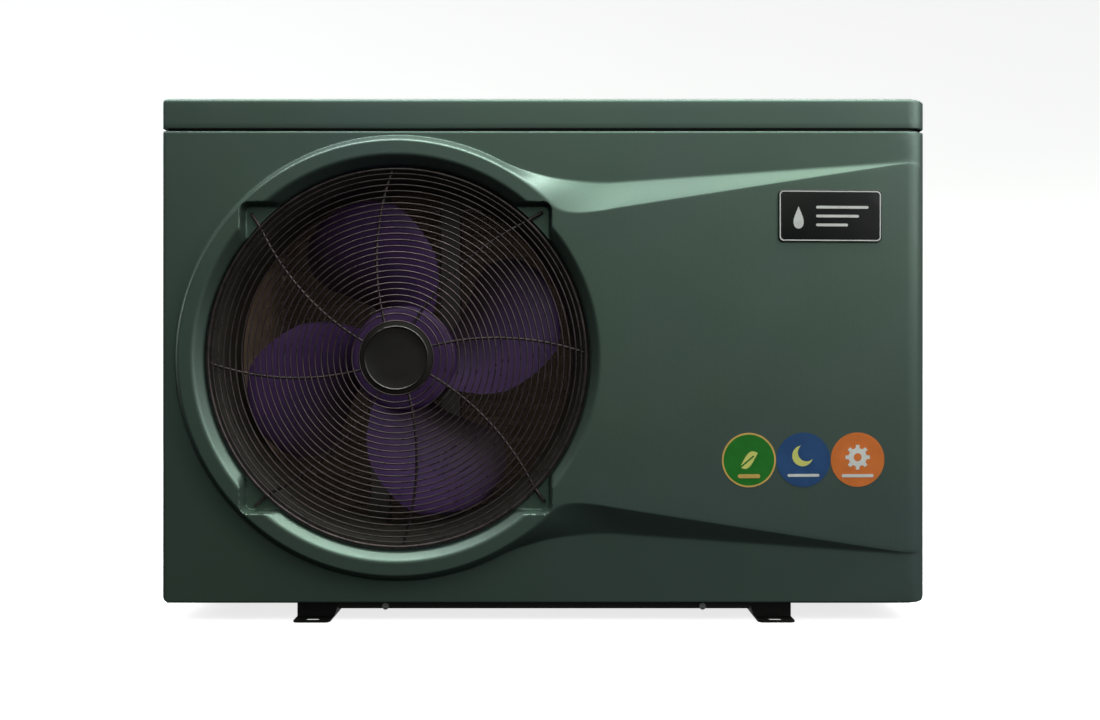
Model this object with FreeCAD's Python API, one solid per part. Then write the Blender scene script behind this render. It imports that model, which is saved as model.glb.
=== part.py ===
"""Pool heat pump, built as separate parts: cabinet, fan set, refrigerant circuit, water circuit and controls.

Millimetres. +X is to the right seen from the front, +Y goes from front to rear, +Z is up.
The origin is the centre of the four foot slots, on the plane that the feet stand on.
"""
import FreeCAD, Part

import math
import os

V = FreeCAD.Vector

# ---------------------------------------------------------------- driving dimensions
HALF_W = 477.0            # half of the cabinet's width
HALF_D = 180.0            # half of the cabinet's depth
PANEL_LOW = 25.0          # lower edge of the panels
PANEL_TOP = 614.5         # upper edge of the panels
LID_LOW = 617.0           # lower edge of the lid, above the shadow gap
LID_TOP = 656.0
SHEET = 2.5               # thickness of the painted panels
FAR_FRONT = -260.0        # clear of everything in front
X_OUT, X_IN = 490.0, 465.0    # cutters through a side panel reach from one to the other
PLATE = 1.5               # thickness of the inner sheet metal
R_LEFT = 4.5              # upright corner radius, left side
R_RIGHT = 25.0            # upright corner radius, right side
R_BOTTOM = 10.0           # lower corners of the front, seen from the front
LID_EDGE = 11.0           # rounding of the lid's upper edge
FRONT_RETURN_LEFT = -160.0    # where the front panel ends on the left side
FRONT_RETURN_RIGHT = -150.0   # where the front panel ends on the right side
SEAM = 0.5                # gap between two neighbouring panels
TOP_RETURN = 18.0         # depth of the panels' folded top flange

FAN_X = -182.8            # fan axis, which runs along Y
FAN_Z = 330.5
RISE = 16.0               # height of the raised face over the panel
RISE_OUT_R = 278.0        # foot of the raised face around the fan
RISE_IN_R = 270.0         # edge of the raised face around the fan
WEDGE_FROM_X = 74.0       # the raised face starts to fall here, just right of the mouth
WEDGE_TO_X = 470.0        # and meets the panel here
LIP_R = 251.0             # fan mouth at the raised face
MOUTH_R = 240.0           # fan mouth behind the cone
MOUTH_CONE_Y = -182.0
MOUTH_BACK_Y = -166.0
NOTCH_WALL = 192.0        # square-cornered notch in the lip for each guard prong: walls from the fan axis
NOTCH_INNER = 140.0
NOTCH_CORNER_R = 10.0
NOTCH_AT_R = 255.5        # where a prong goes through the notch floor
NOTCH_FLOOR_Y = -178.5
NOTCH_ANGLES = (45.2, 135.4, 226.1, 315.7)

GUARD_WIRE = 1.2          # radius of the ring wire
GUARD_RIM_WIRE = 2.0      # radius of the outermost ring's wire
GUARD_FACETS = 12         # sides of a ring wire's section
SPOKE_WIRE = 1.8          # radius of the spoke wire
GUARD_INNER_R = 46.0
GUARD_FIRST_R = 55.0
GUARD_PITCH = 7.63
GUARD_RINGS = 22
GUARD_OUTER = (222.6, 229.2, 235.0)
GUARD_FRONT_Y = -191.0    # wire centre at the middle of the guard
GUARD_DOME = 7.0          # how far the rim lies behind the middle
GUARD_WELD = 0.2          # how deep the welded wires sink into each other
PRONG_WIRE = 2.2          # bent end of each diagonal spoke
PRONG_LEN = 12.0
PRONG_HOLE_R = 2.5
SCREW_HEAD_R, SCREW_HEAD_H, SCREW_R, SCREW_LEN = 4.2, 2.4, 2.0, 9.0
SPOKES = 8
SPOKE_RIM_ANGLE = 1.5
SPOKE_SWIRL = 17.2

SHROUD_R = 220.0
SHROUD_BACK_Y = -90.0
FAN_TIP_R = 212.0
FAN_HUB_R = 68.0
FAN_BLADES = 4
SHAFT_R = 6.0
MOTOR_R = 56.0
MOTOR_Y0 = -78.0
MOTOR_Y1 = -18.0

TRAY_Z = 24.0
FOOT_X = 291.1            # centre line of the foot slots
FOOT_LOW_W = 46.4
FOOT_TOP_IN = 8.7         # extra width at the top, on the inner side
FOOT_H = 24.0
FOOT_END_Y = 155.0
SLOT_Y = 168.0
SLOT_LEN = 20.0
SLOT_R = 5.0
SILL_LOW = 16.5
SILL_HALF = 258.5
SILL_SCREW_X = 198.5
SILL_SCREW_Z = 19.6

PARTITION_X = 112.0
COIL_Z0 = 56.0
COIL_Z1 = 604.0
COIL_THICK = 38.0
COIL_LEFT_X = -449.0      # middle of the coil's left leg
COIL_REAR_Y = 152.0       # middle of the coil's rear leg
COIL_BEND_R = 39.0        # bend radius of the coil at its middle
COIL_FRONT_Y = -118.0     # free end of the left leg
COIL_RIGHT_X = 108.0      # free end of the rear leg
FIN_PITCH = 10.0
FIN_T = 1.2
TUBE_R = 4.2
TUBE_PITCH = 26.4
TUBES_HIGH = 20
TUBE_LOW_Z = 70.0
ROW_OFFSET = 9.5
HEADER_X = 140.0
HEADER_R = 11.0

COMP_X, COMP_Y, COMP_R = 290.0, -70.0, 62.0
EXCH_X, EXCH_Y, EXCH_R = 215.0, 80.0, 62.0
LINE_R, LINE_BEND = 5.0, 11.0      # refrigerant lines
LIQUID_X, LIQUID_Z = 320.0, 216.0   # expansion valve
EXCH_Z0, EXCH_Z1 = 45.0, 400.0
UNION_Y = 80.0
UNION_Z = {"inlet": 130.0, "outlet": 350.0}
PIPE_OUT_R, PIPE_IN_R = 25.0, 21.0
THREAD_R = 36.0
SOCKET_R = 25.15
RUN_GAP = 0.4             # clearance between the union's moving faces

CTRL_Y, CTRL_Z = -60.0, 500.0     # middle of the controller on the right side
CTRL_HALF_Y, CTRL_HALF_Z = 54.0, 74.0
CTRL_WALL = 3.0
CTRL_FLANGE = 9.0
CTRL_FACE_X = 458.0
HINGE_X, HINGE_Z = 482.0, 588.0
BUTTON_R = 7.0
BUTTON_Z = 446.0
BUTTON_Y = {"power": -96.0, "mode": -72.0, "up": -48.0, "down": -24.0}
GAUGE_Y, GAUGE_Z, GAUGE_R = 95.0, 500.0, 27.0
GAUGE_STEM_R = 5.0
GLAND_Y, GLAND_Z = -50.0, 120.0
GLAND_THREAD_R = 10.0
GRIP = (10.0, 130.0, 555.0, 585.0)    # hand grip: y and z limits
GRIP_FLOOR_X = 451.0
COIL_WINDOW_Z = (70.0, 575.0)
GUARD_Z = (62.0, 582.0)       # coil guards, a little larger than their windows
MESH_WIRE, MESH_STEP, MESH_BAY, MESH_END = 1.25, 16.0, 75.0, 6.0
LEFT_WINDOW_Y = (-110.0, 140.0)
REAR_WINDOW_X = (-430.0, 110.0)
VENT_COLUMNS, VENT_ROWS = (150.0, 285.0), 14
VENT_LEN, VENT_H, VENT_PITCH, VENT_LOW_Z = 110.0, 7.0, 28.0, 120.0


# ---------------------------------------------------------------- small helpers
def box(x0, x1, y0, y1, z0, z1):
    return Part.makeBox(x1 - x0, y1 - y0, z1 - z0, V(x0, y0, z0))


def rod(start, end, radius):
    start, end = V(*start), V(*end)
    return Part.makeCylinder(radius, (end - start).Length, start, end - start)


def tube(start, end, outer, inner):
    return rod(start, end, outer).cut(rod(start, end, inner))


def polygon_face(points):
    return Part.Face(Part.makePolygon([V(*p) for p in points] + [V(*points[0])]))


def rounded_wire(x0, x1, y0, y1, radii, z):
    """Rectangle in the XY plane; radii are front-left, front-right, rear-right and rear-left."""
    corners = [(x0, y0, 1, 1), (x1, y0, -1, 1), (x1, y1, -1, -1), (x0, y1, 1, -1)]
    arcs = []
    for (cx, cy, sx, sy), r in zip(corners, radii):
        centre = V(cx + sx * r, cy + sy * r, z)
        on_x = V(cx, cy + sy * r, z)
        on_y = V(cx + sx * r, cy, z)
        middle = centre + V(-sx, -sy, 0) * (r / math.sqrt(2))
        first, last = (on_x, on_y) if sx == sy else (on_y, on_x)
        arcs.append((first, middle, last))
    edges = []
    for i, (first, middle, last) in enumerate(arcs):
        edges.append(Part.Arc(first, middle, last).toShape())
        follow = arcs[(i + 1) % 4][0]
        edges.append(Part.LineSegment(last, follow).toShape())
    return Part.Wire(edges)


def upright(x0, x1, y0, y1, radii, z0, z1):
    """Rounded block that stands along Z."""
    return Part.Face(rounded_wire(x0, x1, y0, y1, radii, z0)).extrude(V(0, 0, z1 - z0))


def facing(x0, x1, z0, z1, radii, y0, y1):
    """Rounded block that runs along Y; radii are lower-left, lower-right, upper-right, upper-left."""
    block = upright(x0, x1, z0, z1, radii, 0, y1 - y0)
    block.rotate(V(0, 0, 0), V(1, 0, 0), 90)
    block.translate(V(0, y1, 0))
    return block


def sideways(y0, y1, z0, z1, radius, x0, x1):
    """Rounded block that runs along X."""
    block = upright(y0, y1, z0, z1, (radius,) * 4, 0, x1 - x0)
    block.rotate(V(0, 0, 0), V(1, 1, 1), 120)
    block.translate(V(x0, 0, 0))
    return block


def turned(profile, x=FAN_X, z=FAN_Z):
    """Solid of revolution about a line along Y through (x, z); the profile is (radius, y) pairs."""
    face = polygon_face([(x + r, y, z) for r, y in profile])
    return face.revolve(V(x, 0, z), V(0, 1, 0), 360)


def turned_x(profile, y, z):
    """Solid of revolution about a line along X; the profile is (x, radius) pairs."""
    face = polygon_face([(x, y + r, z) for x, r in profile])
    return face.revolve(V(0, y, z), V(1, 0, 0), 360)


def turned_z(profile, x, y):
    """Solid of revolution about an upright line; the profile is (radius, z) pairs."""
    face = polygon_face([(x + r, y, z) for r, z in profile])
    return face.revolve(V(x, y, 0), V(0, 0, 1), 360)


def polar(radius, degrees, y):
    angle = math.radians(degrees)
    return V(FAN_X + radius * math.cos(angle), y, FAN_Z + radius * math.sin(angle))


def bent_pipe(points, radius, bend):
    """Round bar along straight runs joined by tangent arcs."""
    points = [V(*p) for p in points]
    edges = []
    start = points[0]
    for before, corner, after in zip(points, points[1:], points[2:]):
        inward = (before - corner).normalize()
        outward = (after - corner).normalize()
        half_turn = (math.pi - inward.getAngle(outward)) / 2
        reach = bend * math.tan(half_turn)
        first = corner + inward * reach
        last = corner + outward * reach
        bisector = (inward + outward).normalize()
        middle = corner + bisector * (bend / math.cos(half_turn) - bend)
        edges.append(Part.LineSegment(start, first).toShape())
        edges.append(Part.Arc(first, middle, last).toShape())
        start = last
    edges.append(Part.LineSegment(start, points[-1]).toShape())
    path = Part.Wire(edges)
    section = Part.Wire(Part.makeCircle(radius, points[0], points[1] - points[0]))
    return path.makePipeShell([section], True, True)


def hexagon(radius, height, centre, axis):
    points = [V(radius * math.cos(math.radians(a)), radius * math.sin(math.radians(a)), 0)
              for a in range(0, 360, 60)]
    prism = Part.Face(Part.makePolygon(points + [points[0]])).extrude(V(0, 0, height))
    prism.Placement = FreeCAD.Placement(V(*centre), FreeCAD.Rotation(V(0, 0, 1), V(*axis)))
    return prism


# ---------------------------------------------------------------- screws
def screw_places():
    """Head seat and outward direction of every cabinet screw."""
    places = []
    for x in (-SILL_SCREW_X, SILL_SCREW_X):
        places.append((V(x, -174, SILL_SCREW_Z), V(0, -1, 0)))
        places.append((V(x, 174, SILL_SCREW_Z), V(0, 1, 0)))
    for side in (-1, 1):
        for y in (-120, 0, 120):
            places.append((V(side * HALF_W, y, 40), V(side, 0, 0)))
    for x in (-432, -160, 100, 300, 420):
        for z in (40, 608):
            places.append((V(x, HALF_D, z), V(0, 1, 0)))
    return places


def cabinet_screws():
    screws = []
    for seat, out in screw_places():
        head = Part.makeCylinder(SCREW_HEAD_R, SCREW_HEAD_H, seat, out)
        cross = Part.makeBox(5.0, 1.0, 1.2, V(-2.5, -0.5, 0))
        cross = cross.fuse(Part.makeBox(1.0, 5.0, 1.2, V(-0.5, -2.5, 0)))
        turn = FreeCAD.Rotation(V(0, 0, 1), out)
        cross.Placement = FreeCAD.Placement(seat + out * (SCREW_HEAD_H - 1.0), turn)
        shank = Part.makeCylinder(SCREW_R, SCREW_LEN, seat, out * -1)
        screws.append(head.cut(cross).fuse(shank))
    return Part.makeCompound(screws)


def screw_holes():
    return Part.makeCompound([Part.makeCylinder(SCREW_R, SCREW_LEN + 1, seat, out * -1)
                              for seat, out in screw_places()])


# ---------------------------------------------------------------- cabinet panels
def raised_outline(y, arc_r, arc_end, bend_points, bend_from, far):
    """Closed outline around the fan that runs out in a wedge to the right, symmetric about the axis."""
    def point(x, dz):
        return V(x, y, FAN_Z + dz)

    def half(sign):
        slope = (far[1] - bend_from[1]) / (far[0] - bend_from[0])
        angle = math.radians(arc_end)
        tangent = V(math.sin(angle), 0, -sign * math.cos(angle))
        chain = [polar(arc_r, sign * arc_end, y)]
        chain += [point(x, sign * dz) for x, dz in bend_points]
        chain.append(point(bend_from[0], sign * bend_from[1]))
        curve = Part.BSplineCurve()
        curve.interpolate(Points=chain, InitialTangent=tangent,
                          FinalTangent=V(1, 0, sign * slope))
        line = Part.LineSegment(chain[-1], point(far[0], sign * far[1]))
        return curve.toShape(), line.toShape()

    stops = (arc_end, 90, 180, 270, 360 - arc_end)
    arcs = [Part.Arc(polar(arc_r, a, y), polar(arc_r, (a + b) / 2, y), polar(arc_r, b, y)).toShape()
            for a, b in zip(stops, stops[1:])]
    upper_curve, upper_line = half(1)
    lower_curve, lower_line = half(-1)
    end = Part.LineSegment(point(far[0], -far[1]), point(far[0], far[1])).toShape()
    return Part.Wire(arcs + [lower_curve, lower_line, end, upper_line, upper_curve])


def raised_block():
    """Solid block of the raised face, from the panel's plane forward."""
    foot = raised_outline(-HALF_D, RISE_OUT_R, 62.0, ((-5, 228.5), (40, 220.8)), (90, 219.0), (470, 245.8))
    edge = raised_outline(-HALF_D - RISE, RISE_IN_R, 44.5, ((24, 181.5), (45, 179.3)), (90, 183.8),
                          (435, 209.0))
    return Part.makeLoft([foot, edge], True, True)


def above_wedge():
    """Everything in front of the tilted plane that the raised face falls to on the right."""
    slope = RISE / (WEDGE_TO_X - WEDGE_FROM_X)
    past = WEDGE_TO_X + 50
    y_past = -HALF_D + slope * 50
    front = -HALF_D - RISE
    face = polygon_face([(WEDGE_FROM_X, front, 0), (past, y_past, 0), (past, FAR_FRONT, 0),
                         (WEDGE_FROM_X, FAR_FRONT, 0)])
    return face.extrude(V(0, 0, 700))


def wedge_depth(x):
    """Y of the raised face at x, right of where it starts to fall."""
    return -HALF_D - RISE * (WEDGE_TO_X - x) / (WEDGE_TO_X - WEDGE_FROM_X)


def notch(grow, y0, y1):
    """Pockets in the lip with two upright or level walls and a round corner, open towards the fan."""
    pockets = []
    for sign_x, sign_z in ((1, 1), (-1, 1), (-1, -1), (1, -1)):
        x0, x1 = sorted((sign_x * NOTCH_INNER, sign_x * (NOTCH_WALL + grow)))
        z0, z1 = sorted((sign_z * NOTCH_INNER, sign_z * (NOTCH_WALL + grow)))
        radii = [1.0] * 4
        outer = {(-1, -1): 0, (1, -1): 1, (1, 1): 2, (-1, 1): 3}[sign_x, sign_z]
        radii[outer] = NOTCH_CORNER_R + grow
        pockets.append(facing(FAN_X + x0, FAN_X + x1, FAN_Z + z0, FAN_Z + z1, radii, y0, y1))
    return Part.makeCompound(pockets)


def prong_pins(radius, y0, y1):
    """Bars along Y where the bent ends of the guard go through the notch floors."""
    return [Part.makeCylinder(radius, y1 - y0, polar(NOTCH_AT_R, angle, y0), V(0, 1, 0))
            for angle in NOTCH_ANGLES]


def outline_shell(z0, z1):
    """Upright sheet that runs all round the cabinet."""
    outer = upright(-HALF_W, HALF_W, -HALF_D, HALF_D, (R_LEFT, R_RIGHT, R_RIGHT, R_LEFT), z0, z1)
    i = SHEET
    radii = (R_LEFT - i, R_RIGHT - i, R_RIGHT - i, R_LEFT - i)
    inner = upright(-HALF_W + i, HALF_W - i, -HALF_D + i, HALF_D - i, radii, z0 - 1, z1 + 1)
    return outer.cut(inner)


def top_flange():
    """Folded flange along the panels' upper edge, all round."""
    i = SHEET
    t = TOP_RETURN
    z0 = PANEL_TOP - SHEET
    outer = upright(-HALF_W + i, HALF_W - i, -HALF_D + i, HALF_D - i,
                    (R_LEFT - i, R_RIGHT - i, R_RIGHT - i, R_LEFT - i), z0, PANEL_TOP)
    inner = box(-HALF_W + t, HALF_W - t, -HALF_D + t, HALF_D - t, z0 - 1, PANEL_TOP + 1)
    return outer.cut(inner)


def front_panel():
    keep = box(-500, 500, -200, FRONT_RETURN_LEFT, 0, 700)
    keep = keep.fuse(box(300, 500, -200, FRONT_RETURN_RIGHT, 0, 700))
    pan = outline_shell(PANEL_LOW, PANEL_TOP).fuse(top_flange()).common(keep)
    mask = facing(-HALF_W, HALF_W, PANEL_LOW, PANEL_TOP, (R_BOTTOM, R_BOTTOM, 1.5, 1.5), -200, -100)
    pan = pan.common(mask)
    block = raised_block().cut(above_wedge())
    hollow = block.copy()
    hollow.translate(V(0, SHEET, 0))
    shell = pan.fuse(block).cut(hollow)
    front = -HALF_D - RISE
    cone = turned([(LIP_R, front), (MOUTH_R, MOUTH_CONE_Y), (MOUTH_R, MOUTH_BACK_Y),
                   (MOUTH_R + SHEET, MOUTH_BACK_Y), (MOUTH_R + SHEET, MOUTH_CONE_Y + 1),
                   (LIP_R + SHEET, front + SHEET), (LIP_R + SHEET, front)])
    bore = turned([(0, front - 1), (LIP_R + 0.8, front - 1), (LIP_R, front), (MOUTH_R, MOUTH_CONE_Y),
                   (MOUTH_R, MOUTH_BACK_Y + 1), (0, MOUTH_BACK_Y + 1)])
    cups = notch(SHEET, front, NOTCH_FLOOR_Y + SHEET)
    lining = cone.fuse(cups)
    shell = shell.cut(turned([(0, -210), (LIP_R, -210), (LIP_R, -150), (0, -150)]))
    shell = shell.fuse(lining).cut(bore)
    holes = Part.makeCompound(prong_pins(PRONG_HOLE_R, front, MOUTH_BACK_Y))
    return shell.cut(notch(0, front - 4, NOTCH_FLOOR_Y)).cut(holes).cut(screw_holes())


def side_panel_blank(side):
    """The rest of the sheet round the cabinet on one side, with its rear corner."""
    if side < 0:
        keep = box(-500, -440, FRONT_RETURN_LEFT + SEAM, 200, 0, 700)
    else:
        keep = box(430, 500, FRONT_RETURN_RIGHT + SEAM, 200, 0, 700)
    return outline_shell(PANEL_LOW, PANEL_TOP).fuse(top_flange()).common(keep)


def left_side_panel():
    panel = side_panel_blank(-1)
    window = sideways(*LEFT_WINDOW_Y, *COIL_WINDOW_Z, 12, -X_OUT, -X_IN)
    return panel.cut(window).cut(screw_holes())


def right_side_panel():
    panel = side_panel_blank(1)
    half_y = CTRL_HALF_Y + CTRL_WALL + 0.5
    half_z = CTRL_HALF_Z + CTRL_WALL + 0.5
    panel = panel.cut(sideways(CTRL_Y - half_y, CTRL_Y + half_y, CTRL_Z - half_z, CTRL_Z + half_z, 4,
                               X_IN, X_OUT))
    holes = [(UNION_Y, z, PIPE_OUT_R + 0.5) for z in UNION_Z.values()]
    holes += [(GLAND_Y, GLAND_Z, GLAND_THREAD_R), (GAUGE_Y, GAUGE_Z, GAUGE_STEM_R)]
    for y, z, radius in holes:
        panel = panel.cut(rod((X_IN, y, z), (X_OUT, y, z), radius))
    panel = panel.cut(hand_grip(0, X_IN, X_OUT))
    cup = hand_grip(2, GRIP_FLOOR_X - 2, HALF_W - SHEET).cut(hand_grip(0, GRIP_FLOOR_X, X_OUT))
    return panel.fuse(cup).cut(screw_holes())


def hand_grip(grow, x0, x1):
    y0, y1, z0, z1 = GRIP
    return sideways(y0 - grow, y1 + grow, z0 - grow, z1 + grow, 10 + grow, x0, x1)


def rear_panel():
    keep = box(-440 + SEAM, 430 - SEAM, 150, 200, 0, 700)
    panel = outline_shell(PANEL_LOW, PANEL_TOP).fuse(top_flange()).common(keep)
    panel = panel.cut(facing(*REAR_WINDOW_X, *COIL_WINDOW_Z, (12,) * 4, 170, 190))
    slots = []
    for x in VENT_COLUMNS:
        for row in range(VENT_ROWS):
            z = VENT_LOW_Z + row * VENT_PITCH
            slots.append(facing(x, x + VENT_LEN, z, z + VENT_H, (VENT_H / 2 - 0.1,) * 4, 170, 190))
    return panel.cut(Part.makeCompound(slots)).cut(screw_holes())


def top_lid():
    corners = (LID_EDGE + 1, R_RIGHT, R_RIGHT, LID_EDGE + 1)
    outer = upright(-HALF_W, HALF_W, -HALF_D, HALF_D, corners, LID_LOW, LID_TOP)
    edges = [e for e in outer.Edges if e.BoundBox.ZMin > LID_TOP - 0.01]
    outer = outer.makeFillet(LID_EDGE, edges)
    i = SHEET
    radii = [r - i for r in corners]
    inner = upright(-HALF_W + i, HALF_W - i, -HALF_D + i, HALF_D - i, radii, LID_LOW - 1, LID_TOP - i)
    edges = [e for e in inner.Edges if e.BoundBox.ZMin > LID_TOP - i - 0.01]
    shell = outer.cut(inner.makeFillet(LID_EDGE - i, edges))
    rim_out = upright(-HALF_W + 3, HALF_W - 3, -HALF_D + 3, HALF_D - 3, (9, 22, 22, 9), PANEL_TOP, LID_LOW)
    flange = upright(-HALF_W + i, HALF_W - i, -HALF_D + i, HALF_D - i, radii, LID_LOW, LID_LOW + 2)
    hollow = box(-HALF_W + 15, HALF_W - 15, -HALF_D + 15, HALF_D - 15, PANEL_TOP - 1, LID_LOW + 3)
    return shell.fuse(rim_out.fuse(flange).cut(hollow))


def mesh_guard(across, fixed, axis):
    """Welded wire grid: level wires outside, upright wires behind them."""
    (a0, a1), (low, high) = across, GUARD_Z
    r = MESH_WIRE
    depth = 2 * r - GUARD_WELD
    levels = int((high - low) / MESH_STEP)
    top = low + levels * MESH_STEP
    columns = max(3, int((a1 - a0) / MESH_BAY) + 1)
    span = a1 - a0 - 2 * MESH_END

    def place(a, back, z):
        return (a, fixed - back, z) if axis == "x" else (fixed + back, a, z)

    bars = []
    for i in range(levels + 1):
        z = low + i * MESH_STEP
        bars.append(rod(place(a0, 0, z), place(a1, 0, z), r))
    for i in range(columns):
        a = a0 + MESH_END + span * i / (columns - 1)
        bars.append(rod(place(a, depth, low - 4), place(a, depth, top + 4), r))
    return bars[0].multiFuse(bars[1:])


def base_tray():
    t = PLATE
    radii = (3.0, R_RIGHT - 3.5, R_RIGHT - 3.5, 3.0)
    outer = upright(-473.5, 473.5, -176.5, 176.5, radii, TRAY_Z, TRAY_Z + 30)
    inner_radii = (1.5, R_RIGHT - 5, R_RIGHT - 5, 1.5)
    inner = upright(-473.5 + t, 473.5 - t, -176.5 + t, 176.5 - t, inner_radii, TRAY_Z + t, TRAY_Z + 40)
    tray = outer.cut(inner)
    for side in (-1, 1):
        face_y = side * 173.0
        web = box(-SILL_HALF, SILL_HALF, face_y - 1, face_y + 1, SILL_LOW, TRAY_Z)
        inside = face_y - side * 12
        lip = box(-SILL_HALF, SILL_HALF, min(face_y, inside), max(face_y, inside), SILL_LOW, SILL_LOW + 1.5)
        tray = tray.fuse(web).fuse(lip)
    tray = tray.cut(rod((-150, 100, TRAY_Z - 1), (-150, 100, TRAY_Z + 3), 6.5))
    for x, y in compressor_feet():
        tray = tray.cut(rod((x, y, TRAY_Z - 1), (x, y, TRAY_Z + 3), 4.0))
    return tray.cut(screw_holes())


def foot_rail(side):
    """Folded rail with an end plate set back from each slotted flange."""
    outer_x = FOOT_X + FOOT_LOW_W / 2
    low_x = FOOT_X - FOOT_LOW_W / 2
    top_x = low_x - FOOT_TOP_IN
    t = 2.0
    section = polygon_face([(outer_x, -FOOT_END_Y, 0), (outer_x, -FOOT_END_Y, FOOT_H),
                            (top_x, -FOOT_END_Y, FOOT_H), (low_x, -FOOT_END_Y, 0)])
    block = section.extrude(V(0, 2 * FOOT_END_Y, 0))
    core = polygon_face([(outer_x - t, -FOOT_END_Y + t, t), (outer_x - t, -FOOT_END_Y + t, FOOT_H + 1),
                         (top_x + t, -FOOT_END_Y + t, FOOT_H + 1), (low_x + t, -FOOT_END_Y + t, t)])
    rail = block.cut(core.extrude(V(0, 2 * FOOT_END_Y - 2 * t, 0)))
    flange = upright(low_x, outer_x, -HALF_D, HALF_D, (6,) * 4, 0, t)
    rail = rail.fuse(flange)
    for y in (-SLOT_Y, SLOT_Y):
        rail = rail.cut(slot(FOOT_X, y, t))
    if side < 0:
        rail = rail.mirror(V(0, 0, 0), V(1, 0, 0))
    return rail


def slot(x, y, height):
    half = SLOT_LEN / 2 - SLOT_R
    cutter = box(x - half, x + half, y - SLOT_R, y + SLOT_R, -1, height + 1)
    for end in (-half, half):
        cutter = cutter.fuse(rod((x + end, y, -1), (x + end, y, height + 1), SLOT_R))
    return cutter


def partition_wall():
    wall = box(PARTITION_X, PARTITION_X + PLATE, -150, 129, TRAY_Z + PLATE, 606)
    wall = wall.fuse(box(PARTITION_X, PARTITION_X + 16, -150, -150 + PLATE, TRAY_Z + PLATE, 606))
    return wall.fuse(box(PARTITION_X, PARTITION_X + 16, -150, 129, TRAY_Z + PLATE, TRAY_Z + 2 * PLATE))


def fan_shroud():
    """Bell mouth from the panel's mouth down to the running ring round the blades."""
    curve = []
    steps = 8
    for i in range(steps + 1):
        a = math.pi / 2 * i / steps
        curve.append((SHROUD_R + 20 * (1 - math.sin(a)), -140 - 26 * math.cos(a)))
    inner = curve + [(SHROUD_R, SHROUD_BACK_Y)]
    outer = [(r + 2, y) for r, y in reversed(inner)]
    outer[-1] = (MOUTH_R + 22, MOUTH_BACK_Y)
    outer.insert(-1, (MOUTH_R + 22, MOUTH_BACK_Y + 2))
    outer.insert(-2, (MOUTH_R + 2.6, MOUTH_BACK_Y + 2))
    return turned(inner + outer)


# ---------------------------------------------------------------- fan guard
def guard_depth(radius):
    share = (radius - GUARD_INNER_R) / (GUARD_OUTER[-1] - GUARD_INNER_R)
    return GUARD_FRONT_Y + GUARD_DOME * share * share


def guard_radii():
    return [GUARD_INNER_R] + [GUARD_FIRST_R + GUARD_PITCH * i for i in range(GUARD_RINGS)] + list(GUARD_OUTER)


def guard_rings():
    """Concentric wires; each section is a polygon of GUARD_FACETS sides, close to round."""
    rings = []
    for radius in guard_radii():
        wire = GUARD_RIM_WIRE if radius == GUARD_OUTER[-1] else GUARD_WIRE
        turns = [2 * math.pi * (i + 0.5) / GUARD_FACETS for i in range(GUARD_FACETS)]
        rings.append(turned([(radius + wire * math.cos(a), guard_depth(radius) + wire * math.sin(a)) for a in turns]))
    return Part.makeCompound(rings)


def spoke_angle(radius, rim_angle):
    share = (radius - GUARD_INNER_R) / (GUARD_OUTER[-1] - GUARD_INNER_R)
    return rim_angle + SPOKE_SWIRL * (1 - share)


def guard_spokes():
    spokes = []
    behind = GUARD_WIRE + SPOKE_WIRE - GUARD_WELD
    elbow_y = NOTCH_FLOOR_Y - PRONG_WIRE - 0.3
    pins = prong_pins(PRONG_WIRE, elbow_y, elbow_y + PRONG_LEN)
    for k in range(SPOKES):
        rim = SPOKE_RIM_ANGLE + 360.0 / SPOKES * k
        stations = [polar(r, spoke_angle(r, rim), guard_depth(r) + behind) for r in (42.0, 140.0, 235.0)]
        arc = Part.Arc(*stations)
        path = Part.Wire(arc.toShape())
        section = Part.Wire(Part.makeCircle(SPOKE_WIRE, stations[0], arc.tangent(arc.FirstParameter)[0]))
        spoke = path.makePipeShell([section], True, True)
        if k % 2:
            spoke = spoke.fuse(prong(pins[k // 2], stations[-1]))
        spokes.append(spoke)
    return Part.makeCompound(spokes)


def prong(pin, rim_point):
    """Straight end of a diagonal spoke, bent back through the notch floor."""
    elbow = V(pin.BoundBox.Center.x, pin.BoundBox.YMin, pin.BoundBox.Center.z)
    bar = Part.makeCylinder(PRONG_WIRE, (elbow - rim_point).Length, rim_point, elbow - rim_point)
    rounds = [Part.makeSphere(PRONG_WIRE, rim_point), Part.makeSphere(PRONG_WIRE, elbow)]
    return bar.fuse(rounds + [pin])


def guard_center_disc():
    """Pressed disc with a raised bead near its rim."""
    y = GUARD_FRONT_Y
    front = [(0, y - 0.2), (30, y - 0.4), (34, y - 0.6), (36.5, y - 1.8), (41, y - 1.8), (43.5, y - 0.6),
             (45, y)]
    back = [(r, yy + 1.4) for r, yy in reversed(front)]
    return turned(front + back)


# ---------------------------------------------------------------- trim
def on_wedge(shape, x, z):
    """Lay a plate drawn face-down on Y = 0 around the origin onto the falling raised face."""
    tilt = math.degrees(math.atan(RISE / (WEDGE_TO_X - WEDGE_FROM_X)))
    shape.rotate(V(0, 0, 0), V(0, 0, 1), tilt)
    shape.translate(V(x, wedge_depth(x), z))
    return shape


def name_plate():
    plate = facing(-65, 65, -32.5, 32.5, (6,) * 4, -2.0, 0)
    emblem = Part.makeCylinder(8, 0.5, V(-38, -2.5, 0), V(0, 1, 0))
    bars = [facing(-18, 45 - 12 * i, 8 - 10 * i, 11 - 10 * i, (1.4,) * 4, -2.5, -2.0) for i in range(3)]
    return on_wedge(plate.fuse([emblem] + bars), 355.6, 507.0)


def round_label(x):
    return on_wedge(Part.makeCylinder(33.8, 0.4, V(0, -0.4, 0), V(0, 1, 0)), x, 204.0)


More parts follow.
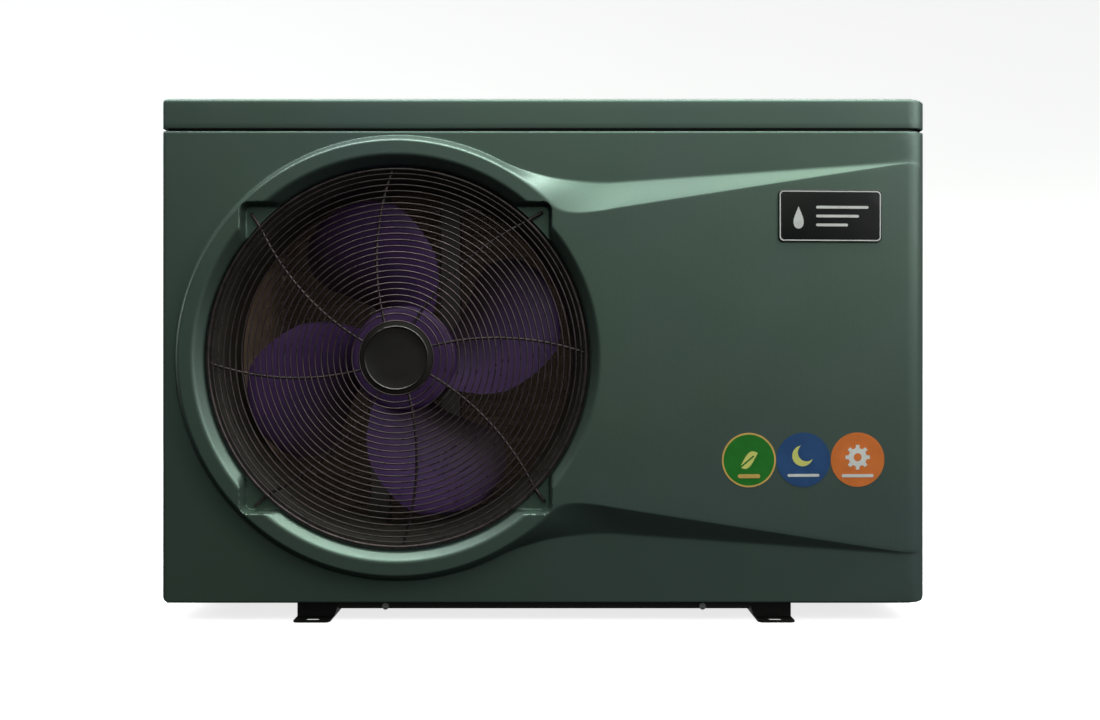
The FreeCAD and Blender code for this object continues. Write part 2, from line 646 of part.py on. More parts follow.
# ---------------------------------------------------------------- fan and motor
BLADE_SECTIONS = (  # radius, middle angle, half width, middle y, slope of y along the chord
    (58.0, -3.0, 36.0, -112.0, 0.56),
    (90.0, 4.0, 60.0, -113.0, 0.44),
    (139.0, 15.5, 88.0, -115.0, 0.30),
    (185.0, 21.0, 82.0, -117.0, 0.26),
    (222.0, 23.0, 55.0, -118.0, 0.24),
)
BLADE_T = 3.0


def blade_section(radius, middle, half, y_mid, slope):
    """Thin cambered section in the plane square to the radius."""
    angle = math.radians(middle)
    along = V(-math.sin(angle), 0, math.cos(angle))
    centre = V(math.cos(angle), 0, math.sin(angle)) * radius
    camber = 0.10 * half

    def at(share, lift):
        y = y_mid + slope * half * share - camber * (1 - share * share) + lift
        return centre + along * (half * share) + V(0, y, 0)

    front = Part.Arc(at(-1, -BLADE_T / 2), at(0, -BLADE_T / 2), at(1, -BLADE_T / 2)).toShape()
    back = Part.Arc(at(1, BLADE_T / 2), at(0, BLADE_T / 2), at(-1, BLADE_T / 2)).toShape()
    tip = Part.LineSegment(at(1, -BLADE_T / 2), at(1, BLADE_T / 2)).toShape()
    tail = Part.LineSegment(at(-1, BLADE_T / 2), at(-1, -BLADE_T / 2)).toShape()
    return Part.Wire([front, tip, back, tail])


def fan_impeller():
    blade = Part.makeLoft([blade_section(*s) for s in BLADE_SECTIONS], True, False)
    blade = blade.common(rod((0, -200, 0), (0, -50, 0), FAN_TIP_R))
    blade = blade.cut(rod((0, -200, 0), (0, -50, 0), FAN_HUB_R - 2))
    hub = rod((0, -134, 0), (0, -88, 0), FAN_HUB_R).cut(rod((0, -129, 0), (0, -80, 0), FAN_HUB_R - 4))
    hub = hub.fuse(rod((0, -130, 0), (0, -92, 0), 16))
    hub = hub.cut(rod((0, -150, 0), (0, -60, 0), SHAFT_R))
    for i in range(FAN_BLADES):
        turned_blade = blade.copy()
        turned_blade.rotate(V(0, 0, 0), V(0, 1, 0), -360.0 / FAN_BLADES * i)
        hub = hub.fuse(turned_blade)
        rib = box(15, FAN_HUB_R - 3, -130, -96, -1.5, 1.5)
        rib.rotate(V(0, 0, 0), V(0, 1, 0), -360.0 / FAN_BLADES * i - 45)
        hub = hub.fuse(rib)
    hub.translate(V(FAN_X, 0, FAN_Z))
    return hub


def fan_nut():
    nut = hexagon(10.5, 7.0, (FAN_X, -134, FAN_Z), (0, -1, 0))
    return nut.cut(rod((FAN_X, -150, FAN_Z), (FAN_X, -120, FAN_Z), SHAFT_R))


def motor_shaft():
    shaft = rod((FAN_X, -146, FAN_Z), (FAN_X, -24, FAN_Z), SHAFT_R)
    return shaft.makeChamfer(0.8, [e for e in shaft.Edges if e.BoundBox.YMax < -145.9])


def motor_rotor():
    return tube((FAN_X, -70, FAN_Z), (FAN_X, -32, FAN_Z), 32.9, SHAFT_R)


def motor_housing():
    shell = rod((FAN_X, MOTOR_Y0, FAN_Z), (FAN_X, MOTOR_Y1, FAN_Z), MOTOR_R)
    shell = shell.makeFillet(6, [e for e in shell.Edges if e.BoundBox.YLength < 0.1])
    shell = shell.cut(rod((FAN_X, -71, FAN_Z), (FAN_X, -31, FAN_Z), 33.3))
    shell = shell.cut(rod((FAN_X, -79, FAN_Z), (FAN_X, -22, FAN_Z), 16.0))
    for k in range(12):
        angle = 30 * k
        rib = box(MOTOR_R - 2, MOTOR_R + 2, MOTOR_Y0 + 10, MOTOR_Y1 - 10, -1.5, 1.5)
        rib.rotate(V(0, 0, 0), V(0, 1, 0), -angle)
        rib.translate(V(FAN_X, 0, FAN_Z))
        shell = shell.fuse(rib)
    return shell


def motor_bearings():
    gap = 0.05
    front = tube((FAN_X, -78, FAN_Z), (FAN_X, -71, FAN_Z), 16.0, SHAFT_R + gap)
    back = tube((FAN_X, -30.5, FAN_Z), (FAN_X, -23.5, FAN_Z), 16.0, SHAFT_R + gap)
    return Part.makeCompound([front, back])


def motor_bracket():
    plate = box(FAN_X - 62, FAN_X + 62, MOTOR_Y1, MOTOR_Y1 + 3, FAN_Z - 45, FAN_Z + 45)
    plate = plate.cut(rod((FAN_X, -30, FAN_Z), (FAN_X, 0, FAN_Z), 20))
    for side in (-1, 1):
        x = FAN_X + side * 50
        web = box(x - 12, x + 12, MOTOR_Y1 + 3, MOTOR_Y1 + 5, TRAY_Z + PLATE, 608)
        flanges = [box(x + s * 12 - 1, x + s * 12 + 1, MOTOR_Y1 + 3, MOTOR_Y1 + 20, TRAY_Z + PLATE, 608)
                   for s in (-1, 1)]
        plate = plate.fuse([web] + flanges)
        foot = box(x - 20, x + 20, MOTOR_Y1 + 3, MOTOR_Y1 + 40, TRAY_Z + PLATE, TRAY_Z + PLATE + 2)
        plate = plate.fuse(foot)
    return plate


# ---------------------------------------------------------------- evaporator
def coil_bend():
    return COIL_LEFT_X + COIL_BEND_R, COIL_REAR_Y - COIL_BEND_R


def evaporator_fins():
    bend_x, bend_y = coil_bend()
    half = COIL_THICK / 2
    t = FIN_T / 2
    y0, y1 = COIL_REAR_Y - half, COIL_REAR_Y + half
    x0, x1 = COIL_LEFT_X - half, COIL_LEFT_X + half
    fins = []
    x = bend_x + FIN_PITCH / 2
    while x < COIL_RIGHT_X - 1:
        fins.append(box(x - t, x + t, y0, y1, COIL_Z0, COIL_Z1))
        x += FIN_PITCH
    y = bend_y - FIN_PITCH / 2
    while y > COIL_FRONT_Y + 1:
        fins.append(box(x0, x1, y - t, y + t, COIL_Z0, COIL_Z1))
        y -= FIN_PITCH
    for k in range(6):
        fin = box(-COIL_BEND_R - half, -COIL_BEND_R + half, -FIN_T / 2, FIN_T / 2, COIL_Z0, COIL_Z1)
        fin.rotate(V(0, 0, 0), V(0, 0, 1), -(7.5 + 15 * k))
        fin.translate(V(bend_x, bend_y, 0))
        fins.append(fin)
    return Part.makeCompound(fins)


def coil_tube(offset, z):
    """One L-shaped tube; a positive offset is the outer row."""
    bend_x, bend_y = coil_bend()
    radius = COIL_BEND_R + offset
    end = 4.0
    left = rod((bend_x - radius, COIL_FRONT_Y - end, z), (bend_x - radius, bend_y, z), TUBE_R)
    rear = rod((bend_x, bend_y + radius, z), (COIL_RIGHT_X + end, bend_y + radius, z), TUBE_R)
    corner = Part.makeTorus(radius, TUBE_R, V(bend_x, bend_y, z), V(0, 0, 1), 0, 360, 90)
    corner.rotate(V(bend_x, bend_y, z), V(0, 0, 1), 90)
    return left.fuse([corner, rear])


def tube_rows():
    """Offset from the coil's middle and tube heights of the inner and the outer row."""
    rows = []
    for offset, start in ((-ROW_OFFSET, TUBE_LOW_Z), (ROW_OFFSET, TUBE_LOW_Z + TUBE_PITCH / 2)):
        rows.append((offset, [start + TUBE_PITCH * i for i in range(TUBES_HIGH)]))
    return rows


def evaporator_tubes():
    """Both rows run up and down the coil as one serpentine each, with both ends on the right."""
    bend_x, bend_y = coil_bend()
    tubes = []
    for offset, heights in tube_rows():
        radius = COIL_BEND_R + offset
        for z in heights:
            tubes.append(coil_tube(offset, z))
        for i, (low, high) in enumerate(zip(heights, heights[1:])):
            middle = (low + high) / 2
            bow = Part.makeTorus(TUBE_PITCH / 2, TUBE_R, V(0, 0, 0), V(0, 0, 1), 0, 360, 180)
            if i % 2 == 0:
                bow.rotate(V(0, 0, 0), V(0, 0, 1), 180)
                bow.rotate(V(0, 0, 0), V(0, 1, 0), 90)
                bow.translate(V(bend_x - radius, COIL_FRONT_Y - 4, middle))
            else:
                bow.rotate(V(0, 0, 0), V(0, 1, 0), 90)
                bow.rotate(V(0, 0, 0), V(0, 0, 1), -90)
                bow.translate(V(COIL_RIGHT_X + 4, bend_y + radius, middle))
            tubes.append(bow)
    return Part.makeCompound(tubes)


def evaporator_end_plates():
    bend_x, bend_y = coil_bend()
    reach = COIL_THICK / 2 + 1.5
    x, y = COIL_LEFT_X, COIL_REAR_Y
    z0, z1 = COIL_Z0 - 2, COIL_Z1 + 2
    front = box(x - reach, x + reach, COIL_FRONT_Y - PLATE, COIL_FRONT_Y, z0, z1)
    right = box(COIL_RIGHT_X, COIL_RIGHT_X + PLATE, y - reach, y + reach, z0, z1)
    holes = []
    for offset, heights in tube_rows():
        radius = COIL_BEND_R + offset
        for z in heights:
            left, rear = bend_x - radius, bend_y + radius
            holes.append(rod((left, COIL_FRONT_Y - 3, z), (left, COIL_FRONT_Y + 3, z), TUBE_R))
            holes.append(rod((COIL_RIGHT_X - 3, rear, z), (COIL_RIGHT_X + 3, rear, z), TUBE_R))
    cutter = Part.makeCompound(holes)
    return Part.makeCompound([front.cut(cutter), right.cut(cutter)])


# ---------------------------------------------------------------- compressor and refrigerant circuit
def compressor_feet():
    return [(COMP_X + 84 * math.cos(math.radians(a)), COMP_Y + 84 * math.sin(math.radians(a)))
            for a in (90, 210, 330)]


def compressor_shell():
    body = turned_z([(0, 36), (40, 38), (56, 46), (COMP_R, 58), (COMP_R, 292), (56, 310), (40, 322),
                     (0, 330)], COMP_X, COMP_Y)
    feet = compressor_feet()
    plate = polygon_face([(x + (x - COMP_X) * 0.22, y + (y - COMP_Y) * 0.22, 50) for x, y in feet])
    plate = plate.extrude(V(0, 0, 4))
    for x, y in feet:
        plate = plate.fuse(rod((x, y, 50), (x, y, 54), 15))
    for x, y in feet:
        plate = plate.cut(rod((x, y, 49), (x, y, 55), 7))
    terminal = box(COMP_X - 16, COMP_X + 16, COMP_Y - COMP_R - 14, COMP_Y - COMP_R + 6, 250, 286)
    tank = turned_z([(0, 66), (18, 70), (26, 80), (26, 236), (18, 246), (0, 250)], 382, COMP_Y)
    strap = box(COMP_X + 50, 366, COMP_Y - 8, COMP_Y + 8, 180, 184)
    lower = bent_pipe([(382, COMP_Y, 70), (382, COMP_Y, 60), (COMP_X + 50, COMP_Y, 60)], 5, 7)
    return body.fuse([plate, terminal, tank, strap, lower])


def compressor_grommets():
    rings = []
    for x, y in compressor_feet():
        rings.append(turned_z([(4.2, 25.5), (13, 25.5), (11, 34), (13, 42), (11, 50), (6.8, 50),
                               (6.8, 54), (11, 54), (10, 60), (4.2, 60)], x, y))
    return Part.makeCompound(rings)


def compressor_bolts():
    bolts = []
    for x, y in compressor_feet():
        bolts.append(rod((x, y, 21), (x, y, 62), 4.0).fuse(hexagon(8.5, 5.5, (x, y, 60), (0, 0, 1))))
    return Part.makeCompound(bolts)


def reversing_valve():
    body = rod((COMP_X - 48, COMP_Y, 400), (COMP_X + 48, COMP_Y, 400), 12)
    pilot = box(COMP_X - 18, COMP_X + 18, COMP_Y - 34, COMP_Y - 10, 388, 406)
    stubs = [rod((COMP_X + dx, COMP_Y, 405), (COMP_X + dx, COMP_Y, 418), 6.5) for dx in (-22, 0, 22)]
    down = rod((COMP_X, COMP_Y, 382), (COMP_X, COMP_Y, 395), 6.5)
    return body.fuse([pilot, down] + stubs)


def expansion_valve():
    x, y = LIQUID_X, COIL_REAR_Y
    body = rod((x, y, 200), (x, y, 232), 10)
    head = rod((x, y, 232), (x, y, 262), 14)
    side = rod((x, y, LIQUID_Z), (x - 24, y, LIQUID_Z), 6)
    return body.fuse([head, side])


def refrigerant_pipes():
    """Discharge, suction, evaporator gas, exchanger gas and liquid lines, and the coil's two headers."""
    y = COMP_Y
    top, high = 418, 432
    rear = COIL_REAR_Y
    gas_x = HEADER_X + 35
    suction = [(COMP_X, y, top), (COMP_X, y, high), (COMP_X, y - 42, high), (382, y - 42, high),
               (382, y, high), (382, y, 250)]
    coil_gas = [(COMP_X - 22, y, top), (COMP_X - 22, y, high), (COMP_X - 22, 0, high), (gas_x, 0, high),
                (gas_x, rear, high), (HEADER_X + HEADER_R, rear, high)]
    water_gas = [(COMP_X + 22, y, top), (COMP_X + 22, y, high), (COMP_X + 22, EXCH_Y, high),
                 (EXCH_X, EXCH_Y, high), (EXCH_X, EXCH_Y, EXCH_Z1)]
    liquid = [(EXCH_X + EXCH_R, EXCH_Y, 76), (LIQUID_X, EXCH_Y, 76), (LIQUID_X, rear, 76),
              (LIQUID_X, rear, 200)]
    pipes = [rod((COMP_X, y, 330), (COMP_X, y, 382), LINE_R)]
    pipes += [bent_pipe(run, LINE_R, LINE_BEND) for run in (suction, coil_gas, water_gas, liquid)]
    pipes.append(rod((LIQUID_X - 24, rear, LIQUID_Z), (HEADER_X + HEADER_R, rear, LIQUID_Z), LINE_R))
    for z0, z1, which in ((60, 310, 0), (330, 592, -1)):
        header = rod((HEADER_X, rear, z0), (HEADER_X, rear, z1), HEADER_R)
        for offset, heights in tube_rows():
            y_row, z = rear + offset, heights[which]
            header = header.fuse(rod((COIL_RIGHT_X + 4, y_row, z), (HEADER_X, y_row, z), TUBE_R))
        pipes.append(header)
    return Part.makeCompound(pipes)


# ---------------------------------------------------------------- water circuit
def exchanger_shell():
    def capsule(inset):
        radius, low, high = EXCH_R - inset, EXCH_Z0 + inset, EXCH_Z1 - inset
        return turned_z([(0, low), (radius - 12, low), (radius, low + 12), (radius, high - 12),
                         (radius - 12, high), (0, high)], EXCH_X, EXCH_Y)

    shell = capsule(0).cut(capsule(4))
    feet = box(EXCH_X - 50, EXCH_X + 50, EXCH_Y - 30, EXCH_Y + 30, TRAY_Z + PLATE, EXCH_Z0)
    for z in UNION_Z.values():
        shell = shell.cut(rod((EXCH_X + 20, UNION_Y, z), (EXCH_X + 90, UNION_Y, z), PIPE_OUT_R))
    return shell.fuse(feet)


def exchanger_coil():
    rings = [Part.makeTorus(38, 6, V(EXCH_X, EXCH_Y, 80 + 20 * i), V(0, 0, 1)) for i in range(15)]
    riser = rod((EXCH_X - 38, EXCH_Y, 72), (EXCH_X - 38, EXCH_Y, 370), 7)
    return riser.fuse(rings)


def water_pipes():
    """Pipes from the exchanger to the threaded half of each union, outside the right panel."""
    pipes = []
    for z in UNION_Z.values():
        profile = [(EXCH_X + 56, PIPE_IN_R), (EXCH_X + 56, PIPE_OUT_R), (HALF_W, PIPE_OUT_R), (HALF_W, 40),
                   (HALF_W + 4, 40), (HALF_W + 4, THREAD_R), (499, THREAD_R), (499, 30), (496, 30), (496, 26),
                   (499, 26), (499, PIPE_IN_R)]
        pipes.append(turned_x(profile, UNION_Y, z))
    slot_cut = box(376, 384, UNION_Y - 8, UNION_Y + 8, UNION_Z["inlet"] + 15, UNION_Z["inlet"] + 30)
    pipes[0] = pipes[0].cut(slot_cut)
    return Part.makeCompound(pipes)


def union_seals():
    rings = [Part.makeTorus(28, 1.6, V(497.7, UNION_Y, z), V(1, 0, 0)) for z in UNION_Z.values()]
    return Part.makeCompound(rings)


def union_tail(z):
    """Loose half of the union: collar, body and socket for a 50 mm pipe."""
    profile = [(499.4, PIPE_IN_R), (499.4, 34), (505, 34), (505, 31), (544, 31), (546, 29.5), (546, SOCKET_R),
               (516, SOCKET_R), (516, PIPE_IN_R)]
    return turned_x(profile, UNION_Y, z)


def union_nut(z):
    """Ribbed nut that pulls the loose half onto the threaded half."""
    start = HALF_W + 6
    profile = [(start, THREAD_R + RUN_GAP), (start, 44), (516, 44), (518, 42), (518, 31 + RUN_GAP),
               (505 + RUN_GAP, 31 + RUN_GAP), (505 + RUN_GAP, THREAD_R + RUN_GAP)]
    nut = turned_x(profile, UNION_Y, z)
    for k in range(8):
        rib = box(start + 2, 515, -4, 4, 42, 48)
        rib.rotate(V(0, 0, 0), V(1, 0, 0), 45 * k)
        rib.translate(V(0, UNION_Y, z))
        nut = nut.fuse(rib)
    return nut


PADDLE_X = 380.0
PADDLE_PIN_Z = UNION_Z["inlet"] + 26.0


def flow_switch():
    """Housing on the inlet pipe with the two cheeks that hold the paddle's pin."""
    z = UNION_Z["inlet"]
    saddle = box(PADDLE_X - 18, PADDLE_X + 18, UNION_Y - 20, UNION_Y + 20, z + 12, z + 62)
    saddle = saddle.cut(rod((PADDLE_X - 40, UNION_Y, z), (PADDLE_X + 40, UNION_Y, z), PIPE_OUT_R))
    saddle = saddle.cut(box(PADDLE_X - 10, PADDLE_X + 10, UNION_Y - 8.5, UNION_Y + 8.5, z + 10, z + 34))
    pin = rod((PADDLE_X, UNION_Y - 14, PADDLE_PIN_Z), (PADDLE_X, UNION_Y + 14, PADDLE_PIN_Z), 1.5)
    return saddle.fuse(pin)


def flow_paddle():
    """Vane that the water pushes along the pipe."""
    z = UNION_Z["inlet"]
    eye = rod((PADDLE_X, UNION_Y - 6, PADDLE_PIN_Z), (PADDLE_X, UNION_Y + 6, PADDLE_PIN_Z), 3.2)
    vane = box(PADDLE_X - 0.6, PADDLE_X + 0.6, UNION_Y - 6, UNION_Y + 6, z - 12, PADDLE_PIN_Z)
    paddle = eye.fuse(vane)
    return paddle.cut(rod((PADDLE_X, UNION_Y - 9, PADDLE_PIN_Z), (PADDLE_X, UNION_Y + 9, PADDLE_PIN_Z), 1.55))


# ---------------------------------------------------------------- electrics and controls
def electric_box():
    shell = box(130, 430, -165, -25, 446, 596).cut(box(132, 428, -163, -27, 448, 594))
    return shell.cut(rod((430 - 5, -60, 470), (440, -60, 470), 9))


def control_board():
    board = box(140, 420, -150, -40, 456, 458)
    blocks = [box(150, 210, -140, -100, 458, 498), box(225, 275, -140, -110, 458, 478),
              box(290, 410, -60, -46, 458, 476), box(150, 200, -80, -50, 458, 486)]
    cans = [rod((300 + 34 * i, -110, 458), (300 + 34 * i, -110, 505), 13) for i in range(3)]
    posts = [rod((x, y, 448), (x, y, 456), 4) for x in (146, 414) for y in (-144, -46)]
    return board.fuse(blocks + cans + posts)


def controller_box():
    """Tray let into the right side panel: outer flange, walls and the face that carries the controls."""
    y0, y1 = CTRL_Y - CTRL_HALF_Y, CTRL_Y + CTRL_HALF_Y
    z0, z1 = CTRL_Z - CTRL_HALF_Z, CTRL_Z + CTRL_HALF_Z
    w, f = CTRL_WALL, CTRL_FLANGE
    body = sideways(y0 - w, y1 + w, z0 - w, z1 + w, 4, 446, HALF_W)
    body = body.fuse(sideways(y0 - f, y1 + f, z0 - f, z1 + f, 8, HALF_W, HALF_W + 3))
    body = body.cut(sideways(y0, y1, z0, z1, 3, CTRL_FACE_X, HALF_W + 4))
    for y in BUTTON_Y.values():
        body = body.cut(rod((450, y, BUTTON_Z), (CTRL_FACE_X + 1, y, BUTTON_Z), BUTTON_R + 0.35))
    body = body.cut(display_blank(0.0))
    for y in (y0 + 2, y1 - 10):
        lug = rod((HINGE_X, y, HINGE_Z), (HINGE_X, y + 8, HINGE_Z), 4.5)
        lug = lug.fuse(box(HALF_W, HINGE_X, y, y + 8, HINGE_Z - 4.5, HINGE_Z + 4.5))
        lug = lug.fuse(box(HALF_W, HALF_W + 3, y, y + 8, z1 + f - 2, HINGE_Z))
        lug = lug.cut(rod((HINGE_X, y - 1, HINGE_Z), (HINGE_X, y + 9, HINGE_Z), 2.05))
        body = body.fuse(lug)
    return body


def display_blank(shrink):
    return sideways(CTRL_Y - 42 + shrink, CTRL_Y + 42 - shrink, 474 + shrink, 550 - shrink, 4, 455.5, 459.5)


def display_window():
    return display_blank(0.2).common(box(455.5, 459.0, -200, 100, 400, 600))


def controller_door():
    """Weather door over the controls, hung from a pin along its upper edge."""
    y0, y1 = CTRL_Y - CTRL_HALF_Y, CTRL_Y + CTRL_HALF_Y
    z0 = CTRL_Z - CTRL_HALF_Z
    x0, x1 = HALF_W + 3.4, HALF_W + 6.6
    plate = sideways(y0 - 7, y1 + 7, z0 - 7, 582.0, 7, x0, x1)
    tongue = box(x0, x1, y0 + 11, y1 - 11, 578, HINGE_Z)
    barrel = rod((HINGE_X, y0 + 11, HINGE_Z), (HINGE_X, y1 - 11, HINGE_Z), 3.2)
    pin = rod((HINGE_X, y0 + 1, HINGE_Z), (HINGE_X, y1 - 1, HINGE_Z), 2.0)
    pull = box(x1 - 0.5, x1 + 4, CTRL_Y - 18, CTRL_Y + 18, z0 - 6, z0 - 2)
    return plate.fuse([tongue, barrel, pin, pull])


def button(y):
    cap = rod((451.8, y, BUTTON_Z), (460.5, y, BUTTON_Z), BUTTON_R)
    return cap.makeFillet(1.0, [e for e in cap.Edges if e.BoundBox.XMin > 460.4])


def gauge_body():
    """Stem, cup and the post that the needle turns on."""
    stem = HALF_W - 12
    return turned_x([(stem, 0), (stem, GAUGE_STEM_R), (HALF_W, GAUGE_STEM_R), (HALF_W, GAUGE_R),
                     (489, GAUGE_R), (490, GAUGE_R - 1.5), (490, 24), (481, 24), (481, 1.0), (486, 1.0),
                     (486, 0)], GAUGE_Y, GAUGE_Z)


def gauge_needle():
    """Balanced pointer, at rest on the dial's zero, lower left."""
    hub = rod((483, 0, 0), (484.4, 0, 0), 3.2)
    arm = polygon_face([(483.3, -1.1, 0), (483.3, 1.1, 0), (483.3, 0.3, 18.5), (483.3, -0.3, 18.5)])
    tail = polygon_face([(483.3, -1.1, 0), (483.3, 1.1, 0), (483.3, 2.4, -8), (483.3, -2.4, -8)])
    needle = hub.fuse([arm.extrude(V(0.8, 0, 0)), tail.extrude(V(0.8, 0, 0))])
    needle = needle.cut(rod((480, 0, 0), (490, 0, 0), 1.05))
    needle.rotate(V(0, 0, 0), V(1, 0, 0), 135)
    needle.translate(V(0, GAUGE_Y, GAUGE_Z))
    return needle


def gauge_lens():
    return rod((487.2, GAUGE_Y, GAUGE_Z), (489.2, GAUGE_Y, GAUGE_Z), 24)


def cable_gland():
    base = hexagon(14, 6, (HALF_W, GLAND_Y, GLAND_Z), (1, 0, 0))
    thread = rod((466, GLAND_Y, GLAND_Z), (HALF_W, GLAND_Y, GLAND_Z), GLAND_THREAD_R)
    locknut = rod((469.5, GLAND_Y, GLAND_Z), (HALF_W - SHEET, GLAND_Y, GLAND_Z), 14.0)
    dome = turned_x([(483, 0), (483, 12), (492, 12), (499, 8.5), (499, 0)], GLAND_Y, GLAND_Z)
    gland = base.fuse([thread, locknut, dome])
    return gland.cut(rod((460, GLAND_Y, GLAND_Z), (505, GLAND_Y, GLAND_Z), 6.0))


def drain_nozzle():
    return turned_z([(6.5, 4), (9, 4), (9, 20), (16, 22), (16, TRAY_Z), (6.5, TRAY_Z)], -150, 100)


# ---------------------------------------------------------------- all parts
def all_parts():
    parts = {
        "front_panel": front_panel(),
        "top_lid": top_lid(),
        "left_side_panel": left_side_panel(),
        "right_side_panel": right_side_panel(),
        "rear_panel": rear_panel(),
        "rear_coil_guard": mesh_guard((-436, 107), HALF_D - SHEET - MESH_WIRE, "x"),
        "left_coil_guard": mesh_guard((-116, 146), -HALF_W + SHEET + MESH_WIRE, "y"),
        "base_tray": base_tray(),
        "foot_rail_left": foot_rail(-1),
        "foot_rail_right": foot_rail(1),
        "partition_wall": partition_wall(),
        "fan_shroud": fan_shroud(),
        "cabinet_screws": cabinet_screws(),
        "guard_rings": guard_rings(),
        "guard_spokes": guard_spokes(),
        "guard_center_disc": guard_center_disc(),
        "name_plate": name_plate(),
        "label_green": round_label(254.0),
        "label_blue": round_label(322.2),
        "label_orange": round_label(390.4),
        "fan_impeller": fan_impeller(),
        "fan_nut": fan_nut(),
        "motor_shaft": motor_shaft(),
        "motor_rotor": motor_rotor(),
        "motor_housing": motor_housing(),
        "motor_bearings": motor_bearings(),
        "motor_bracket": motor_bracket(),
        "evaporator_fins": evaporator_fins(),
        "evaporator_tubes": evaporator_tubes(),
        "evaporator_end_plates": evaporator_end_plates(),
        "compressor_shell": compressor_shell(),
        "compressor_grommets": compressor_grommets(),
        "compressor_bolts": compressor_bolts(),
        "reversing_valve": reversing_valve(),
        "expansion_valve": expansion_valve(),
        "refrigerant_pipes": refrigerant_pipes(),
        "exchanger_shell": exchanger_shell(),
        "exchanger_coil": exchanger_coil(),
        "water_pipes": water_pipes(),
        "union_seals": union_seals(),
        "flow_switch": flow_switch(),
        "flow_paddle": flow_paddle(),
        "electric_box": electric_box(),
        "control_board": control_board(),
        "controller_box": controller_box(),
        "controller_door": controller_door(),
        "display_window": display_window(),
        "gauge_body": gauge_body(),
        "gauge_needle": gauge_needle(),
        "gauge_lens": gauge_lens(),
        "cable_gland": cable_gland(),
        "drain_nozzle": drain_nozzle(),
    }
    for name, z in UNION_Z.items():
        parts["union_tail_" + name] = union_tail(z)
        parts["union_nut_" + name] = union_nut(z)
    for name, y in BUTTON_Y.items():
        parts["button_" + name] = button(y)
    return parts


def main():
    os.makedirs("parts", exist_ok=True)
    parts = all_parts()
    for name, shape in parts.items():
        solids = len(shape.Solids)
        state = "ok" if shape.isValid() and solids else "BAD"
        print(f"{name:24s} {state} {solids:4d} solids {shape.Volume / 1000:10.1f} cm3")
        shape.exportStep(f"parts/{name}.step")
    print(len(parts), "parts")


main()
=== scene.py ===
import math

import bmesh
import bpy
import numpy as np
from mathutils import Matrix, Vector


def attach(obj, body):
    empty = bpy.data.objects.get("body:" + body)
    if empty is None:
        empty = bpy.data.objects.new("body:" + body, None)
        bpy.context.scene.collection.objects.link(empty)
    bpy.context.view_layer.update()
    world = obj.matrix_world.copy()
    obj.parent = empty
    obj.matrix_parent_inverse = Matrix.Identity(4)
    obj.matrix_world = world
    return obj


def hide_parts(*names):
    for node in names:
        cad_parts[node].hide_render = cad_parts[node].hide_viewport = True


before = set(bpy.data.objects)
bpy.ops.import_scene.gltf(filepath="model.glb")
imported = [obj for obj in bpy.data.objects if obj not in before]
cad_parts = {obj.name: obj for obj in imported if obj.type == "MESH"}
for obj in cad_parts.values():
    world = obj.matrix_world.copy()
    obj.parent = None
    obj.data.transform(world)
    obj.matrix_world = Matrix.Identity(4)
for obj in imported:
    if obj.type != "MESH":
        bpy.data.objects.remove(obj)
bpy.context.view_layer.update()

MM = 0.001

# ---------------------------------------------------------------- sizes, in millimetres
HALF_W, HALF_D = 477.0, 180.0
PANEL_LOW, PANEL_TOP = 25.0, 614.5
LID_LOW, LID_TOP = 617.0, 656.0
SHEET = 2.5
R_LEFT, R_RIGHT, R_BOTTOM, R_TOP = 4.5, 25.0, 10.0, 1.5
R_RIGHT_DEPTH = 12.0
CREST_ROUND, FOOT_SOFT = 2.6, 1.0
TOP_EDGE_R, LOW_EDGE_R = 3.0, 1.6
FAN_X, FAN_Z = -182.8, 330.5
RISE = 16.0
RISE_OUT_R, RISE_IN_R = 278.0, 270.0
WEDGE_FROM_X, WEDGE_TO_X = 74.0, 470.0
MOUTH_R = 240.0
MOUTH_CONE_Y, MOUTH_BACK_Y = -182.0, -166.0
NOTCH_WALL, NOTCH_CORNER_R, NOTCH_FLOOR_Y = 192.0, 10.0, -178.5
PRONG_AT_R, PRONG_WIRE = 255.5, 2.2
NOTCH_ANGLES = (45.2, 135.4, 226.1, 315.7)
GUARD_INNER_R, GUARD_OUTER_R = 46.0, 235.0
GUARD_RADII = [GUARD_INNER_R] + [55.0 + 7.63 * i for i in range(22)] + [222.6, 229.2, GUARD_OUTER_R]
GUARD_FRONT_Y, GUARD_DOME = -191.0, 7.0
SPOKE_RIM_ANGLE, SPOKE_SWIRL = 1.5, 17.2
RING_WIRE, RIM_WIRE, SPOKE_WIRE, SPOKE_BEHIND = 1.02, 2.0, 1.8, 2.8
FAN_CENTRE = (FAN_X, 0, FAN_Z)
CUTTER_EDGE = 0.0001
SHARP = 35.0             # degrees: edges sharper than this aren't shaded as round


# ---------------------------------------------------------------- mesh helpers
def piece(name, verts, faces, material, body="cabinet", slot=None, replaces=(), sharp=SHARP, mats=()):
    """Mesh piece from millimetre points; it rides on a body and stands for the nodes it replaces."""
    mesh = bpy.data.meshes.new(name)
    points = np.asarray(verts, float).reshape(-1, 3) * MM
    mesh.from_pydata(points.tolist(), [], [tuple(f) for f in faces])
    mesh.validate(clean_customdata=False)
    mesh.update()
    mesh.polygons.foreach_set("use_smooth", [True] * len(mesh.polygons))
    if sharp is not None:
        mesh.set_sharp_from_angle(angle=math.radians(sharp))
    obj = bpy.data.objects.new(name, mesh)
    bpy.context.scene.collection.objects.link(obj)
    for m in (material, *mats):
        mesh.materials.append(m)
    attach(obj, body)
    if replaces:
        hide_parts(*replaces)
    return obj


